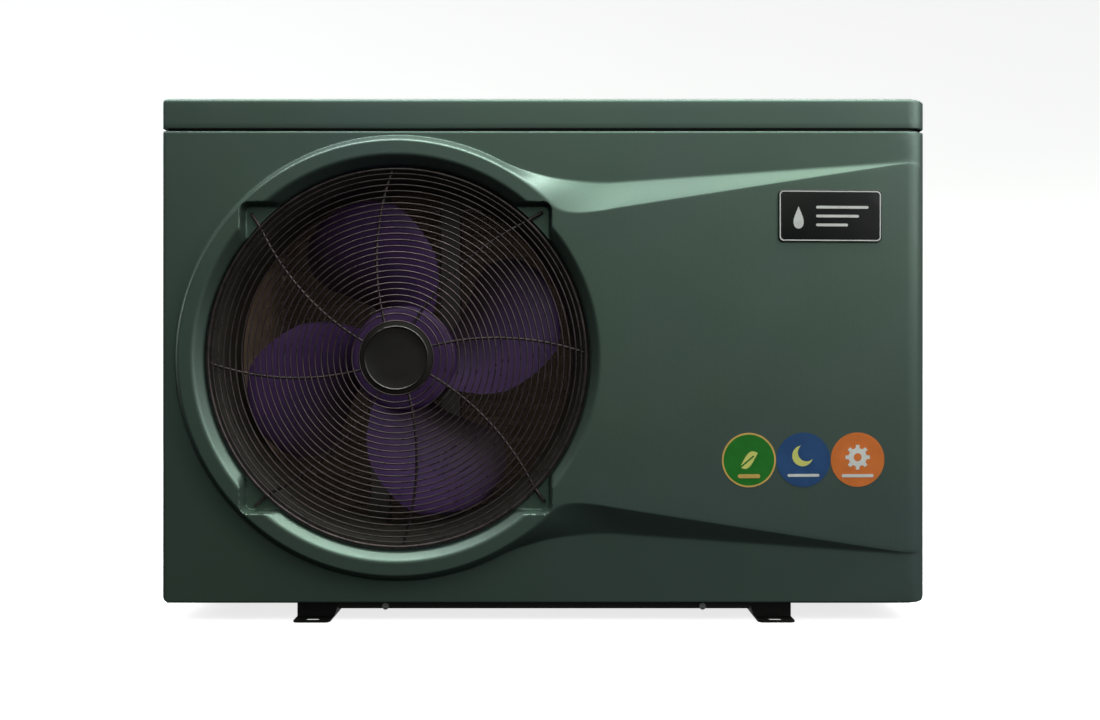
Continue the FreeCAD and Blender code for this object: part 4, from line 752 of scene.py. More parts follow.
def right_side():
    """Right side panel with its openings, and the cup behind the hand grip."""
    path = sheet_path(430.0, -149.5, 1)
    through = (465, 490)
    (grip_y0, grip_y1), (grip_z0, grip_z1), grip_r = (10, 130), (555, 585), 10
    cutters = [slab_x(-117.5, -2.5, 422.5, 577.5, *through, 4, CUTTER_EDGE),
               slab_x(grip_y0, grip_y1, grip_z0, grip_z1, *through, grip_r, CUTTER_EDGE)]
    for radius, y, z, sides in ((25.5, 80, 130, 64), (25.5, 80, 350, 64), (10.0, -50, 120, 48)):
        cutters.append(turned([(radius, x) for x in through], (0, y, z), "x", sides))
    folded_sheet("right_side_skin", path, 1, cutters, replaces=["right_side_panel"])
    rows = []
    for x, inset in ((HALF_W, 0.0), (HALF_W - 3.0, 0.4), (459.0, 1.6), (453.5, 3.0), (452.0, 5.5)):
        loop = rounded_loop(grip_y0 + inset, grip_y1 - inset, grip_z0 + inset, grip_z1 - inset,
                            (grip_r - inset,) * 4)
        rows.append([(x, y, z) for y, z in loop])
    n = len(rows[0])
    faces = grid_faces(len(rows), n, close_cols=True) + [tuple(range((len(rows) - 1) * n, len(rows) * n))]
    flipped = [tuple(reversed(f)) for f in faces]
    thickened(piece("hand_grip_cup", rows, flipped, PAINT, slot="painted_steel"), 1.2)


def rear():
    """Rear panel with the coil's window and two columns of louvred slots."""
    path = np.array([(x, HALF_D) for x in np.linspace(429.5, -439.5, 12)])

    def cut(x0, x1, z0, z1, r):
        return rounded_slab(x0, x1, z0, z1, -195, -165, (r,) * 4, CUTTER_EDGE, 6, 1,
                            to=lambda a, b, c: (a, -c, b))

    obj = folded_sheet("rear_skin", path, 1, [cut(-430, 110, 70, 575, 12)], replaces=["rear_panel"])
    slot_width, slot_height, slot_pitch = 110, 7, 28
    slots, hoods = Soup(), Soup()
    profile = [(0.0, 0.0), (-1.5, -1.6), (-4.5, -3.4), (-7.5, -4.2)]
    hood = [(dz, HALF_D - 2.2 + dy) for dz, dy in profile]
    hood += [(dz, HALF_D - 3.4 + dy) for dz, dy in profile[::-1]]
    for x in (150, 285):
        for k in range(14):
            z = 120 + slot_pitch * k
            slots.add(*cut(x, x + slot_width, z, z + slot_height, 3.4))
            rows = [[(xx, y, z + slot_height + dz + 0.6) for xx in np.linspace(x, x + slot_width, 8)]
                    for dz, y in hood]
            hoods.add(rows, grid_faces(len(rows), 8, close_rows=True))
    boolean(obj, [(np.vstack(slots.verts), slots.faces)])
    hoods.piece("rear_vent_blades", PAINT)


# ---------------------------------------------------------------- fan guard
def polar(radius, degrees, y):
    a = np.radians(degrees)
    return np.stack(np.broadcast_arrays(FAN_X + radius * np.cos(a), y, FAN_Z + radius * np.sin(a)), -1)


def guard_depth(radius):
    """Place of the guard's wires along Y: it is a shallow dome."""
    share = (np.asarray(radius, float) - GUARD_INNER_R) / (GUARD_OUTER_R - GUARD_INNER_R)
    return GUARD_FRONT_Y + GUARD_DOME * share * share


def prong_path(start, elbow):
    """Bar from the guard's rim to the notch, with a small bend back through the notch floor."""
    along = (elbow - start) / np.linalg.norm(elbow - start)
    back, bend = np.array([0.0, 1.0, 0.0]), 3.0
    points = [start + along * t for t in np.linspace(-3.0, np.linalg.norm(elbow - start) - bend, 8)]
    for t in np.linspace(0, 1, 8)[1:]:
        points.append(elbow - along * bend * (1 - t) ** 2 + back * bend * t * t)
    return np.array(points + [elbow + back * 6.0])


def guard():
    """Wire rings, swept spokes with their hooks, and the centre disc."""
    rings = Soup()
    for radius in GUARD_RADII:
        wire = RIM_WIRE if radius == GUARD_OUTER_R else RING_WIRE
        count = max(72, int(radius * 0.9))
        a = np.arange(count) / count * 360
        rings.add(*tube(polar(radius, a, guard_depth(radius)), wire, 8, closed=True))
    rings.piece("guard_ring_wires", GUARD, slot="black_wire", replaces=["guard_rings"], sharp=None)
    spokes = Soup()
    for k in range(8):
        r = np.linspace(42.0, 235.0, 70)
        share = np.clip((r - GUARD_INNER_R) / (GUARD_OUTER_R - GUARD_INNER_R), 0, 1)
        path = polar(r, 45.0 * k + SPOKE_RIM_ANGLE + SPOKE_SWIRL * (1 - share), guard_depth(r) + SPOKE_BEHIND)
        spokes.add(*tube(path, SPOKE_WIRE, 10))
        if k % 2:
            elbow = polar(PRONG_AT_R, NOTCH_ANGLES[k // 2], NOTCH_FLOOR_Y - PRONG_WIRE - 0.3)
            spokes.add(*tube(prong_path(path[-1], elbow), PRONG_WIRE, 12))
    spokes.piece("guard_spoke_wires", GUARD, slot="black_wire", replaces=["guard_spokes"], sharp=None)
    profile = [(0.001, -0.5), (12, -0.5), (24, -0.55), (37.4, -0.6), (37.9, -0.75), (38.3, -1.6),
               (38.9, -1.95), (39.5, -1.6), (39.9, -0.75), (40.4, -0.6), (44.0, -0.5), (45.0, -0.2),
               (45.5, 0.3), (45.3, 1.0), (44.6, 1.3), (38, 1.2), (20, 1.1), (0.001, 1.1)]
    disc = turned([(r, GUARD_FRONT_Y + dy) for r, dy in profile], FAN_CENTRE, "y", 128)
    piece("guard_disc", *disc, DISC, slot="guard_disc", replaces=["guard_center_disc"], sharp=60)


# ---------------------------------------------------------------- fan
def blade(turn):
    """One sickle blade as a closed shell with rounded edges, in polar coordinates round the axis."""
    radii = np.array([60, 70, 81, 95, 110, 125, 139, 153, 167, 180, 190, 198, 204, 208.5, 211.5])
    edge_at, middle_at = [60, 81, 110, 139, 165, 188, 200, 207, 211.5], [60, 90, 139, 185, 212]
    first = np.interp(radii, edge_at, [-36, -31, -25, -18, -9, -1, 3.5, 9, 17])
    last = np.interp(radii, edge_at, [28, 34, 43, 49, 49.5, 45, 41, 36, 30])
    middle = np.interp(radii, middle_at, [-112, -113, -115, -117, -118])
    pitch = np.interp(radii, middle_at, [0.52, 0.42, 0.30, 0.25, 0.22])
    columns = 30
    u = (1 - np.cos(np.linspace(0, math.pi, columns))) / 2
    front, back = [], []
    for r, a0, a1, y0, p in zip(radii, first, last, middle, pitch):
        a = a0 + (a1 - a0) * u
        chord = math.radians(a1 - a0) * r
        s = (u - 0.5) * chord
        half = 1.5 * np.clip(1 - (2 * u - 1) ** 6, 0.15, 1)
        y = y0 + p * s - 0.10 * chord / 2 * (1 - (2 * u - 1) ** 2)
        front.append(polar(r, a + turn, y - half))
        back.append(polar(r, a + turn, y + half))
    rows = np.array(front + back[::-1])
    n = len(radii)
    faces = grid_faces(2 * n, columns, close_rows=True)
    end = columns - 1
    for i in range(n - 1):
        a, b, c, d = [row * columns for row in (i, i + 1, 2 * n - 2 - i, 2 * n - 1 - i)]
        faces += [(a, b, c, d), (d + end, c + end, b + end, a + end)]
    return rows.reshape(-1, 3), faces


def fan():
    """Four blades round a hub with eight ribs inside it."""
    soup = Soup()
    for k in range(4):
        soup.add(*blade(90.0 * k))
    profile = [(0.001, -133.6), (14, -133.6), (16, -134.0), (60, -134.0), (64.5, -133.2), (67.2, -131.0),
               (68, -127.5), (68, -88), (64, -88), (64, -126), (60, -129), (16, -129), (16, -92), (6.2, -92),
               (6.2, -128), (0.001, -128)]
    soup.add(*turned(profile, FAN_CENTRE, "y", 96))
    for k in range(8):
        a = 45.0 * k
        c, s = math.cos(math.radians(a)), math.sin(math.radians(a))
        verts, faces = rounded_slab(16, 64, -1.2, 1.2, 96, 129, (0.3,) * 4, 0.2, 2, 1)
        moved = [(FAN_X + x * c - y * s, -z, FAN_Z + x * s + y * c) for x, y, z in verts]
        soup.add(moved, [tuple(reversed(f)) for f in faces])
    soup.piece("fan_rotor", FAN, body="fan", slot="fan_plastic", replaces=["fan_impeller"], sharp=40)


def shroud():
    """Bell mouth: a quarter ellipse that leads into a straight throat."""
    quarter = math.pi / 2 * np.arange(15) / 14
    curve = [(220 + 20 * (1 - math.sin(a)), -140 - 26 * math.cos(a)) for a in quarter]
    inner = curve + [(220.0, -120.0), (220.0, -105.0), (220.2, -91.0), (221.0, -90.0)]
    outer = [(222.2, -90.4), (222.6, -110.0), (222.6, -140.0), (228, -156), (242.8, -163.6), (262.0, -164.0),
             (262.0, -166.0)]
    bell = turned(inner + outer, FAN_CENTRE, "y", 160, closed=True)
    piece("fan_bell_mouth", *bell, SHROUD, slot="black_plastic", replaces=["fan_shroud"])


# ---------------------------------------------------------------- evaporator
def evaporator():
    """Closely spaced fins in an L, in place of the coarse stack of the frame."""
    fins = Soup()
    z0, z1 = 56.0, 604.0
    bend_x, bend_y, bend_r, half = -410.0, 113.0, 39.0, 18.6
    foil, wave_height = 0.18, 1.35

    def fin(ax, ay, nx, ny):
        across = (-half, -half / 2, 0, half / 2, half)
        ring = []
        for places, side in ((across, foil), (across[::-1], -foil)):
            for m in places:
                shift = wave_height * math.cos(m * 0.8) + side
                ring.append((ax + nx * m - ny * shift, ay + ny * m + nx * shift))
        fins.add([(x, y, z) for z in (z0, z1) for x, y in ring], capped(2, len(ring)))

    pitch = 2.1
    x = bend_x + pitch
    while x < 107:
        fin(x, bend_y + bend_r, 0, 1)
        x += pitch
    y = bend_y - pitch
    while y > -117:
        fin(bend_x - bend_r, y, 1, 0)
        y -= pitch
    count = 28
    for k in range(count):
        a = math.radians(90 + 90 * (k + 0.5) / count)
        fin(bend_x + bend_r * math.cos(a), bend_y + bend_r * math.sin(a), math.cos(a), math.sin(a))
    fins.piece("evaporator_fin_pack", FIN, slot="fin_aluminium", replaces=["evaporator_fins"])


# ---------------------------------------------------------------- name plate and labels
def wedge_y(x):
    return -HALF_D - plane_height(np.asarray(x, float))


class WedgeFrame:
    """Places flat artwork on the falling raised face: a, b run right and up, c stands out of the face."""

    def __init__(self, x, z):
        tilt = math.atan(RISE / (WEDGE_TO_X - WEDGE_FROM_X))
        self.origin = np.array([x, float(wedge_y(x)), z])
        self.right = np.array([math.cos(tilt), math.sin(tilt), 0.0])
        self.out = np.array([math.sin(tilt), -math.cos(tilt), 0.0])

    def __call__(self, a, b, c):
        return tuple(self.origin + self.right * a + np.array([0, 0, b]) + self.out * c)


def prism(loop, c0, c1, place):
    """Flat shape with a given outline, standing out of the face from c0 to c1."""
    return [place(a, b, c) for c in (c0, c1) for a, b in loop], capped(2, len(loop))


def circle(cx, cy, r, steps=64):
    return arc_points(cx, cy, r, 0, 360 - 360 / steps, steps - 1)


def ring_band(cx, cy, r0, r1, c0, c1, place, steps=96):
    """Flat ring standing out of the face."""
    verts = []
    for r, c in ((r0, c0), (r1, c0), (r1, c1), (r0, c1)):
        for turn in 2 * math.pi * np.arange(steps) / steps:
            verts.append(place(cx + r * math.cos(turn), cy + r * math.sin(turn), c))
    return verts, grid_faces(4, steps, close_cols=True, close_rows=True)


SILVER_PRINT = flat_print("silver_print", (0.86, 0.86, 0.85), 0.28)
PLATE_BLACK = flat_print("plate_black_gloss", (0.006, 0.006, 0.006), 0.16)
GREEN_PRINT = flat_print("label_green_print", (0.017, 0.235, 0.020))
GOLD_PRINT = flat_print("label_gold_print", (0.88, 0.55, 0.15))
BLUE_PRINT = flat_print("label_blue_print", (0.026, 0.094, 0.27))
PALE_PRINT = flat_print("label_pale_yellow", (0.90, 0.90, 0.24))
ORANGE_PRINT = flat_print("label_orange_print", (0.92, 0.235, 0.046))
WHITE_PRINT = flat_print("label_white_print", (0.90, 0.90, 0.88))


def name_plate():
    """Black plate with a thin silver rim and a plain drop-and-bars emblem."""
    place = WedgeFrame(355.6, 507.0)
    plate = Soup()
    plate.add(*rounded_slab(-65, 65, -32.5, 32.5, 0.0, 1.7, (6,) * 4, 0.5, 8, 3, to=place), slot=0)
    outer = rounded_loop(-63.6, 63.6, -31.1, 31.1, (5,) * 4, 8)
    inner = rounded_loop(-62.2, 62.2, -29.7, 29.7, (4,) * 4, 8)
    n = len(outer)
    verts = []
    for loop, c in ((outer, 1.5), (outer, 1.95), (inner, 1.95), (inner, 1.5)):
        verts += [place(a, b, c) for a, b in loop]
    plate.add(verts, grid_faces(4, n, close_cols=True, close_rows=True), slot=1)
    drop = [(-40 + 9 * math.sin(t) * math.sin(t / 2) ** 1.5, -2 + 14 * math.cos(t))
            for t in np.linspace(0, 2 * math.pi, 49)[:-1]]
    plate.add(*prism(drop[::-1], 1.5, 2.0, place), slot=1)
    for i, length in enumerate((66, 54, 40)):
        bar = rounded_loop(-18, -18 + length, 9 - 11 * i, 12.4 - 11 * i, (1.6,) * 4, 5)
        plate.add(*prism(bar, 1.5, 2.0, place), slot=1)
    plate.piece("emblem_plate", PLATE_BLACK, slot="plate_black", replaces=["name_plate"], mats=[SILVER_PRINT])


def label(x, name, base, inks, node, art):
    """Round label: rim in the first ink, base colour inside it, and the art's outlines in their inks."""
    place = WedgeFrame(x, 204.0)
    soup = Soup()
    soup.add(*prism(circle(0, 0, 33.8, 96), 0.0, 0.30, place), slot=1)
    soup.add(*prism(circle(0, 0, 31.6, 96), 0.05, 0.36, place), slot=0)
    for step, (loop, colour) in enumerate(art):
        soup.add(*prism(loop, 0.1, 0.42 + 0.05 * step, place), slot=colour)
    soup.piece(name, base, slot=node, replaces=[node], mats=inks)


def crescent(cx, cy, radius, inner, shift, facing):
    """Outline between a circle and a smaller one moved towards the side it opens to."""
    meet = (radius**2 - inner**2 + shift**2) / (2 * shift)
    outer_half = math.degrees(math.acos(meet / radius))
    inner_half = math.degrees(math.acos((meet - shift) / inner))
    turn = math.radians(facing)
    ix, iy = cx + shift * math.cos(turn), cy + shift * math.sin(turn)
    back = arc_points(cx, cy, radius, facing + outer_half, facing + 360 - outer_half, 40)
    front = arc_points(ix, iy, inner, facing + 360 - inner_half, facing + inner_half, 40)
    return back + front[1:-1]


def labels():
    """Three round labels: a leaf, a moon and a gear, each with a plain bar."""
    leaf = [(-11 + 22 * t, -9 + 18 * t + 9 * math.sin(math.pi * t)) for t in np.linspace(0, 1, 24)]
    leaf += [(11 - 22 * t, 9 - 18 * t - 9 * math.sin(math.pi * t)) for t in np.linspace(0, 1, 24)[1:-1]]
    vein = [turned_by(a, b, -50) for a, b in rounded_loop(-1.0, 1.0, -16, 8, (0.9,) * 4, 4)]
    band = rounded_loop(-14, 14, -22.5, -17.5, (2.4,) * 4, 6)
    label(254.0, "label_leaf", GREEN_PRINT, [GOLD_PRINT, PALE_PRINT, WHITE_PRINT], "label_green",
          [(leaf[::-1], 2), (vein, 0), (band, 1)])
    moon = crescent(-1.0, 5.0, 13.0, 11.0, 6.5, 40.0)
    band = rounded_loop(-20, 20, -21, -17.5, (1.7,) * 4, 6)
    label(322.2, "label_moon", BLUE_PRINT, [BLUE_PRINT, PALE_PRINT, WHITE_PRINT], "label_blue",
          [(moon, 2), (band, 3)])
    teeth = []
    for k in range(8):
        for da, r in ((-13, 11.5), (-8, 15.5), (8, 15.5), (13, 11.5)):
            q = math.radians(45.0 * k + da)
            teeth.append((r * math.cos(q), 3 + r * math.sin(q)))
    hub = circle(0, 3, 5.0, 32)
    band = rounded_loop(-20, 20, -22, -18.0, (1.8,) * 4, 6)
    label(390.4, "label_gear", ORANGE_PRINT, [ORANGE_PRINT, WHITE_PRINT], "label_orange",
          [(teeth, 2), (hub, 0), (band, 2)])


# ---------------------------------------------------------------- fittings on the right side
UNION_Y, UNION_Z = 80.0, {"inlet": 130.0, "outlet": 350.0}
TRAY_Y, TRAY_Z, TRAY_HALF_Y, TRAY_HALF_Z = -60.0, 500.0, 54.0, 74.0
TRAY_BACK_X, TRAY_FACE_X = 446.0, 458.0
HINGE_X, HINGE_Z = 482.0, 588.0
KEY_Z, KEY_R = 446.0, 7.0
KEY_Y = {"power": -96.0, "mode": -72.0, "up": -48.0, "down": -24.0}
GAUGE_Y, GAUGE_Z = 95.0, 500.0
GLAND_Y, GLAND_Z = -50.0, 120.0
GAUGE_STEEL = metal_material("gauge_bezel_steel", (0.62, 0.62, 0.63), 0.24, (1, 1, 20), 0.05)
TICK_PRINT = flat_print("dial_black_print", (0.010, 0.010, 0.011))
GREEN_BAND = flat_print("dial_green_print", (0.03, 0.30, 0.06))


def display_light():
    """Pale segments of the display, faintly lit."""
    n = Nodes("display_segments")
    glow = n.noise(300.0, 2.0)
    n.set(Base_Color=n.mix(n.ramp(glow, 0.3, 0.7), rgb(0.45, 0.75, 0.85), rgb(0.6, 0.9, 1.0)))
    n.set(Roughness=0.4, Emission_Color=rgb(0.5, 0.85, 1.0), Emission_Strength=0.5)
    return n.mat


SEGMENTS = display_light()


def facing_out(obj):
    """Turn every face of closed shells outward."""
    mesh = bmesh.new()
    mesh.from_mesh(obj.data)
    bmesh.ops.recalc_face_normals(mesh, faces=mesh.faces)
    mesh.to_mesh(obj.data)
    mesh.free()
    return obj


def softened(outline, radius, steps=4):
    """Closed outline with each corner rounded by up to the radius."""
    points = np.asarray(outline, float)
    rounded = []
    for before, point, after in zip(np.roll(points, 1, 0), points, np.roll(points, -1, 0)):
        back, on = before - point, after - point
        cut = min(radius, 0.45 * np.linalg.norm(back), 0.45 * np.linalg.norm(on))
        start, stop = point + back / np.linalg.norm(back) * cut, point + on / np.linalg.norm(on) * cut
        for t in np.linspace(0, 1, steps + 1):
            rounded.append((1 - t) ** 2 * start + 2 * t * (1 - t) * point + t * t * stop)
    return np.array(rounded)


def ribbed(profile, centre, height, columns=384):
    """Closed ring about X: rows are (radius, x, weight), and height(angle) is added by the weight."""
    angles = np.arange(columns) / columns * 2 * math.pi
    added = height(np.degrees(angles))
    rows = []
    for radius, x, weight in profile:
        r = radius + weight * added
        rows.append(np.stack([np.full_like(r, x), r * np.cos(angles), r * np.sin(angles)], -1))
    verts = np.array(rows).reshape(-1, 3) + np.asarray(centre, float)
    return verts, grid_faces(len(profile), columns, close_cols=True, close_rows=True)


def wrapped(angle, pitch):
    """Distance in degrees from the nearest multiple of the pitch."""
    return np.abs((angle + pitch / 2) % pitch - pitch / 2)


def union(name, colour, slot):
    """Pipe union: a plain tail with a socket, and the ribbed nut that holds it."""
    centre = (0, UNION_Y, UNION_Z[name])
    outline = [(21, 499.4), (34, 499.4), (34, 505), (31, 505), (31, 522), (30.3, 522.8), (30.3, 525),
               (31, 525.8), (31, 538), (30.3, 538.8), (30.3, 541), (31, 541.8), (31, 544), (29.5, 546),
               (25.9, 546), (25.2, 545), (25.2, 516), (21, 516)]
    tail = turned(softened(outline, 0.7), centre, "x", 112, closed=True)
    facing_out(piece(name + "_union_tail", *tail, colour, body=name + "_tail", slot=slot,
                     replaces=["union_tail_" + name]))

    def ribs(angle):
        broad = smoothstep((7.0 - wrapped(angle, 45.0)) / 2.6)
        return 4.0 * broad - 0.7 * (1 - broad) * (0.5 - 0.5 * np.cos(np.radians(angle * 56)))

    profile = [(36.4, 483.0, 0), (43.0, 483.0, 0), (43.8, 483.4, 0), (44.0, 484.6, 0), (44.0, 486.4, 0.85),
               (44.0, 487.4, 1), (44.0, 500.0, 1), (44.0, 512.2, 1), (44.0, 513.6, 0.8), (43.9, 514.8, 0),
               (43.6, 516.2, 0), (42.8, 517.4, 0), (41.6, 518.0, 0), (32.4, 518.0, 0), (31.7, 517.7, 0),
               (31.4, 517.0, 0), (31.4, 505.4, 0), (36.4, 505.4, 0)]
    nut = ribbed(profile, centre, ribs)
    facing_out(piece(name + "_union_nut", *nut, GREY, body=name + "_nut", slot="grey_plastic",
                     replaces=["union_nut_" + name]))


def facing_right(y, z, x):
    """Placer for artwork seen from +X: a runs along +Y, b runs up and c stands out."""
    return lambda a, b, c: (x + c, y + a, z + b)


def gauge():
    """Pressure gauge: steel case, printed dial, pointer and domed lens."""
    centre = (0, GAUGE_Y, GAUGE_Z)
    outline = [(0.001, 465), (5, 465), (5, 477), (26.2, 477), (27, 477.8), (27, 487.6), (26.6, 489.0),
               (25.6, 490), (24.4, 489.9), (24, 489.4), (24, 481), (1.0, 481), (1.0, 485.7), (0.7, 486),
               (0.001, 486)]
    case = Soup()
    case.add(*turned(outline, centre, "x", 128))
    dial = facing_right(GAUGE_Y, GAUGE_Z, 481.0)
    case.add(*ring_band(0, 0, 1.1, 23.8, 0.02, 0.22, dial), slot=1)

    def sector(r0, r1, start, stop, steps):
        return arc_points(0, 0, r1, start, stop, steps) + arc_points(0, 0, r0, stop, start, steps)

    case.add(*prism(sector(19.6, 22.4, 117, 36, 24), 0.1, 0.28, dial), slot=3)
    for k in range(51):
        angle = 225.0 - 5.4 * k
        inner, half = (17.4, 1.3) if k % 5 == 0 else (20.2, 0.6)
        case.add(*prism(sector(inner, 22.8, angle - half, angle + half, 2), 0.1, 0.34, dial), slot=2)
    facing_out(case.piece("gauge_case", GAUGE_STEEL, slot="gauge_white", replaces=["gauge_body"],
                          mats=[WHITE_PRINT, TICK_PRINT, GREEN_BAND]))
    hand = Soup()
    collar = [(1.05, 483), (3.2, 483), (3.2, 484.4), (1.05, 484.4)]
    hand.add(*turned(softened(collar, 0.3), centre, "x", 48, closed=True))

    def along(a, b, c):
        right, up = turned_by(a, b, 225)
        return (483.3 + c, GAUGE_Y + right, GAUGE_Z + up)

    for outline in ([(2.8, -1.1), (18.4, -0.25), (18.4, 0.25), (2.8, 1.1)],
                    [(-8.0, -2.3), (-2.8, -1.1), (-2.8, 1.1), (-8.0, 2.3)]):
        hand.add(*prism(softened(outline, 0.2, 2), 0.0, 0.8, along))
    facing_out(hand.piece("gauge_pointer", RED, body="gauge_hand", slot="needle_red",
                          replaces=["gauge_needle"]))
    dome = [(0.001, 487.2), (23.6, 487.2), (24, 487.5), (24, 488.2), (20, 488.7), (14, 489.0), (7, 489.16),
            (0.001, 489.2)]
    lens = turned(dome, centre, "x", 96)
    facing_out(piece("gauge_glass", *lens, LENS, slot="clear_lens", replaces=["gauge_lens"]))


def gland():
    """Cable gland: hexagon, ribbed dome nut and rubber throat."""
    columns = 288
    angles = np.arange(columns) / columns * 360
    hexa = 14.0 * math.cos(math.radians(30)) / np.cos(np.radians(wrapped(angles + 30.0, 60.0)))
    grip = -0.35 * (0.5 - 0.5 * np.cos(np.radians(angles * 18)))
    full = np.ones(columns)
    rows = [(6, 466), (10, 466), (10, 469.6), (13.4, 469.6), (13.4, 474.4), (10, 474.4), (10, 477.0),
            (np.minimum(hexa, 13.4), 477.0), (hexa, 477.5), (hexa, 482.3), (np.minimum(hexa, 13.2), 483.0),
            (12, 483.0), (12 + grip, 483.8), (12 + grip, 491.4), (11.6, 492.4), (10.4, 495.4), (9.2, 498.2),
            (8.5, 499.0), (6.9, 499.0), (6.3, 498.7), (6, 498.0)]
    turn = np.radians(angles)
    verts = [np.stack([full * x, full * r * np.cos(turn), full * r * np.sin(turn)], -1) for r, x in rows]
    facing_out(piece("gland_body", np.array(verts) + np.array([0, GLAND_Y, GLAND_Z]),
                     grid_faces(len(rows), columns, close_cols=True, close_rows=True), CONTROL,
                     slot="black_plastic", replaces=["cable_gland"]))


def tray_block(grow, radius, x0, x1, edge=0.01, rolls=1):
    half_y, half_z = TRAY_HALF_Y + grow, TRAY_HALF_Z + grow
    return slab_x(TRAY_Y - half_y, TRAY_Y + half_y, TRAY_Z - half_z, TRAY_Z + half_z, x0, x1, radius, edge, 8,
                  rolls)


def rod_x(y, z, radius, x0, x1, segments=48):
    return turned([(radius, x0), (radius, x1)], (0, y, z), "x", segments)


def rod_y(x, z, radius, y0, y1, segments=40):
    return turned([(radius, y0), (radius, y1)], (x, 0, z), "y", segments)


def shell(name, parts, material, cutters=(), **kw):
    """Closed shapes joined one after another, then cut; each keeps smooth rounded edges."""
    obj = facing_out(piece(name, *parts[0], material, **kw))
    boolean(obj, parts[1:], "UNION")
    boolean(obj, cutters)
    obj.data.materials.clear()
    obj.data.materials.append(material)
    return facing_out(obj)


def controller():
    """Tray with a rolled flange, hinge lugs, glass, keys and the smoked door."""
    low, high = TRAY_Y - TRAY_HALF_Y, TRAY_Y + TRAY_HALF_Y
    parts = [tray_block(3.0, 4.0, TRAY_BACK_X, 478.0), tray_block(9.0, 8.0, 477.0, 480.0, 0.9, 3)]
    lugs, lug_width = (low + 2, high - 10), 8
    outline = [(477.5, 581), (480, 581), (480, 583)] + arc_points(HINGE_X, HINGE_Z, 4.5, -80, 90, 14)
    outline.append((477.5, HINGE_Z + 4.5))
    parts += [prism(outline, y, y + lug_width, lambda a, b, c: (a, c, b)) for y in lugs]
    cutters = [tray_block(0.0, 3.0, TRAY_FACE_X, 490.0)]
    cutters += [rod_x(y, KEY_Z, KEY_R + 0.35, 450, 460) for y in KEY_Y.values()]
    cutters += [rod_y(HINGE_X, HINGE_Z, 2.05, y - 1, y + lug_width + 1) for y in lugs]
    cutters.append(slab_x(TRAY_Y - 42, TRAY_Y + 42, 474, 550, 455.5, 459.5, 4, steps=6))
    shell("controller_tray", parts, CONTROL, cutters, slot="black_plastic", replaces=["controller_box"])

    glass = Soup()
    glass.add(*slab_x(TRAY_Y - 41.8, TRAY_Y + 41.8, 474.2, 549.8, 455.6, 459.0, 3.8, 0.35, 6, 3))
    face = facing_right(TRAY_Y, 512.0, 459.0)
    for shift, lit in ((-24.0, "abged"), (0.0, "acdefg"), (22.0, "abcdef")):
        for bar in seven_segments(shift, lit):
            glass.add(*prism(bar, -0.02, 0.10, face), slot=1)
    facing_out(glass.piece("display_glass", PLATE_BLACK, slot="display_glass", replaces=["display_window"],
                           mats=[SEGMENTS]))

    x0, x1 = 480.4, 483.6
    plate = slab_x(low - 7, high + 7, TRAY_Z - TRAY_HALF_Z - 7, 582.0, x0, x1, 7, 0.9, 8, 3)
    tongue = slab_x(low + 11, high - 11, 576.0, HINGE_Z, x0 + 0.05, x1 - 0.05, 0.1, 0.05, 1)
    pull = slab_x(TRAY_Y - 18, TRAY_Y + 18, 420.0, 424.0, x1 - 0.5, x1 + 4.0, 1.6, 0.7, 5, 3)
    shell("weather_door", [plate, tongue, rod_y(HINGE_X, HINGE_Z, 3.2, low + 11, high - 11),
                           rod_y(HINGE_X, HINGE_Z, 2.0, low + 1, high - 1), pull],
          SMOKED, body="controller_door", slot="smoked_plastic", replaces=["controller_door"])
    for name, y in KEY_Y.items():
        key(name, y)


def seven_segments(shift, lit):
    """Bars of one numeral, each a flat lozenge."""
    half, tall, width = 6.5, 11.0, 1.3
    ends = {"a": ((-half, tall * 2), (half, tall * 2)), "b": ((half, tall * 2), (half, tall)),
            "c": ((half, tall), (half, 0)), "d": ((-half, 0), (half, 0)), "e": ((-half, tall), (-half, 0)),
            "f": ((-half, tall * 2), (-half, tall)), "g": ((-half, tall), (half, tall))}
    bars = []
    for letter in lit:
        (ax, ay), (bx, by) = ends[letter]
        long = math.hypot(bx - ax, by - ay)
        ux, uy = (bx - ax) / long, (by - ay) / long
        gap = 0.9
        outline = []
        for along, across in ((gap, 0), (gap + width, -width), (long - gap - width, -width), (long - gap, 0),
                              (long - gap - width, width), (gap + width, width)):
            outline.append((shift + ax + ux * along - uy * across, ay - 11 + uy * along + ux * across))
        bars.append(outline)
    return bars


def key(name, y):
    """Dished rubber key with a raised sign."""
    cap = Soup()
    cap.add(*turned([(0.001, 451.8), (KEY_R, 451.8), (KEY_R, 459.2), (6.8, 459.8), (6.4, 460.2), (5.8, 460.4),
                     (5.0, 460.4), (4.6, 460.2), (0.001, 460.1)], (0, y, KEY_Z), "x", 64))
    face = facing_right(y, KEY_Z, 460.0)
    if name == "power":
        signs = [arc_points(0, -0.3, 3.0, 125, 415, 30) + arc_points(0, -0.3, 2.1, 415, 125, 30),
                 rounded_loop(-0.45, 0.45, -0.3, 3.4, (0.4,) * 4, 3)]
    elif name == "mode":
        signs = [rounded_loop(-2.8, 2.8, b - 0.45, b + 0.45, (0.4,) * 4, 3) for b in (-1.9, 0.0, 1.9)]
    else:
        tip = 2.4 if name == "up" else -2.4
        signs = [[(-2.8, -tip * 0.6), (2.8, -tip * 0.6), (0, tip)]]
    for sign in signs:
        cap.add(*prism(sign, 0.0, 0.45, face), slot=1)
    facing_out(cap.piece(name + "_key_cap", KEYS, body=name + "_key", slot="button_key",
                         replaces=["button_" + name], mats=[WHITE_PRINT]))


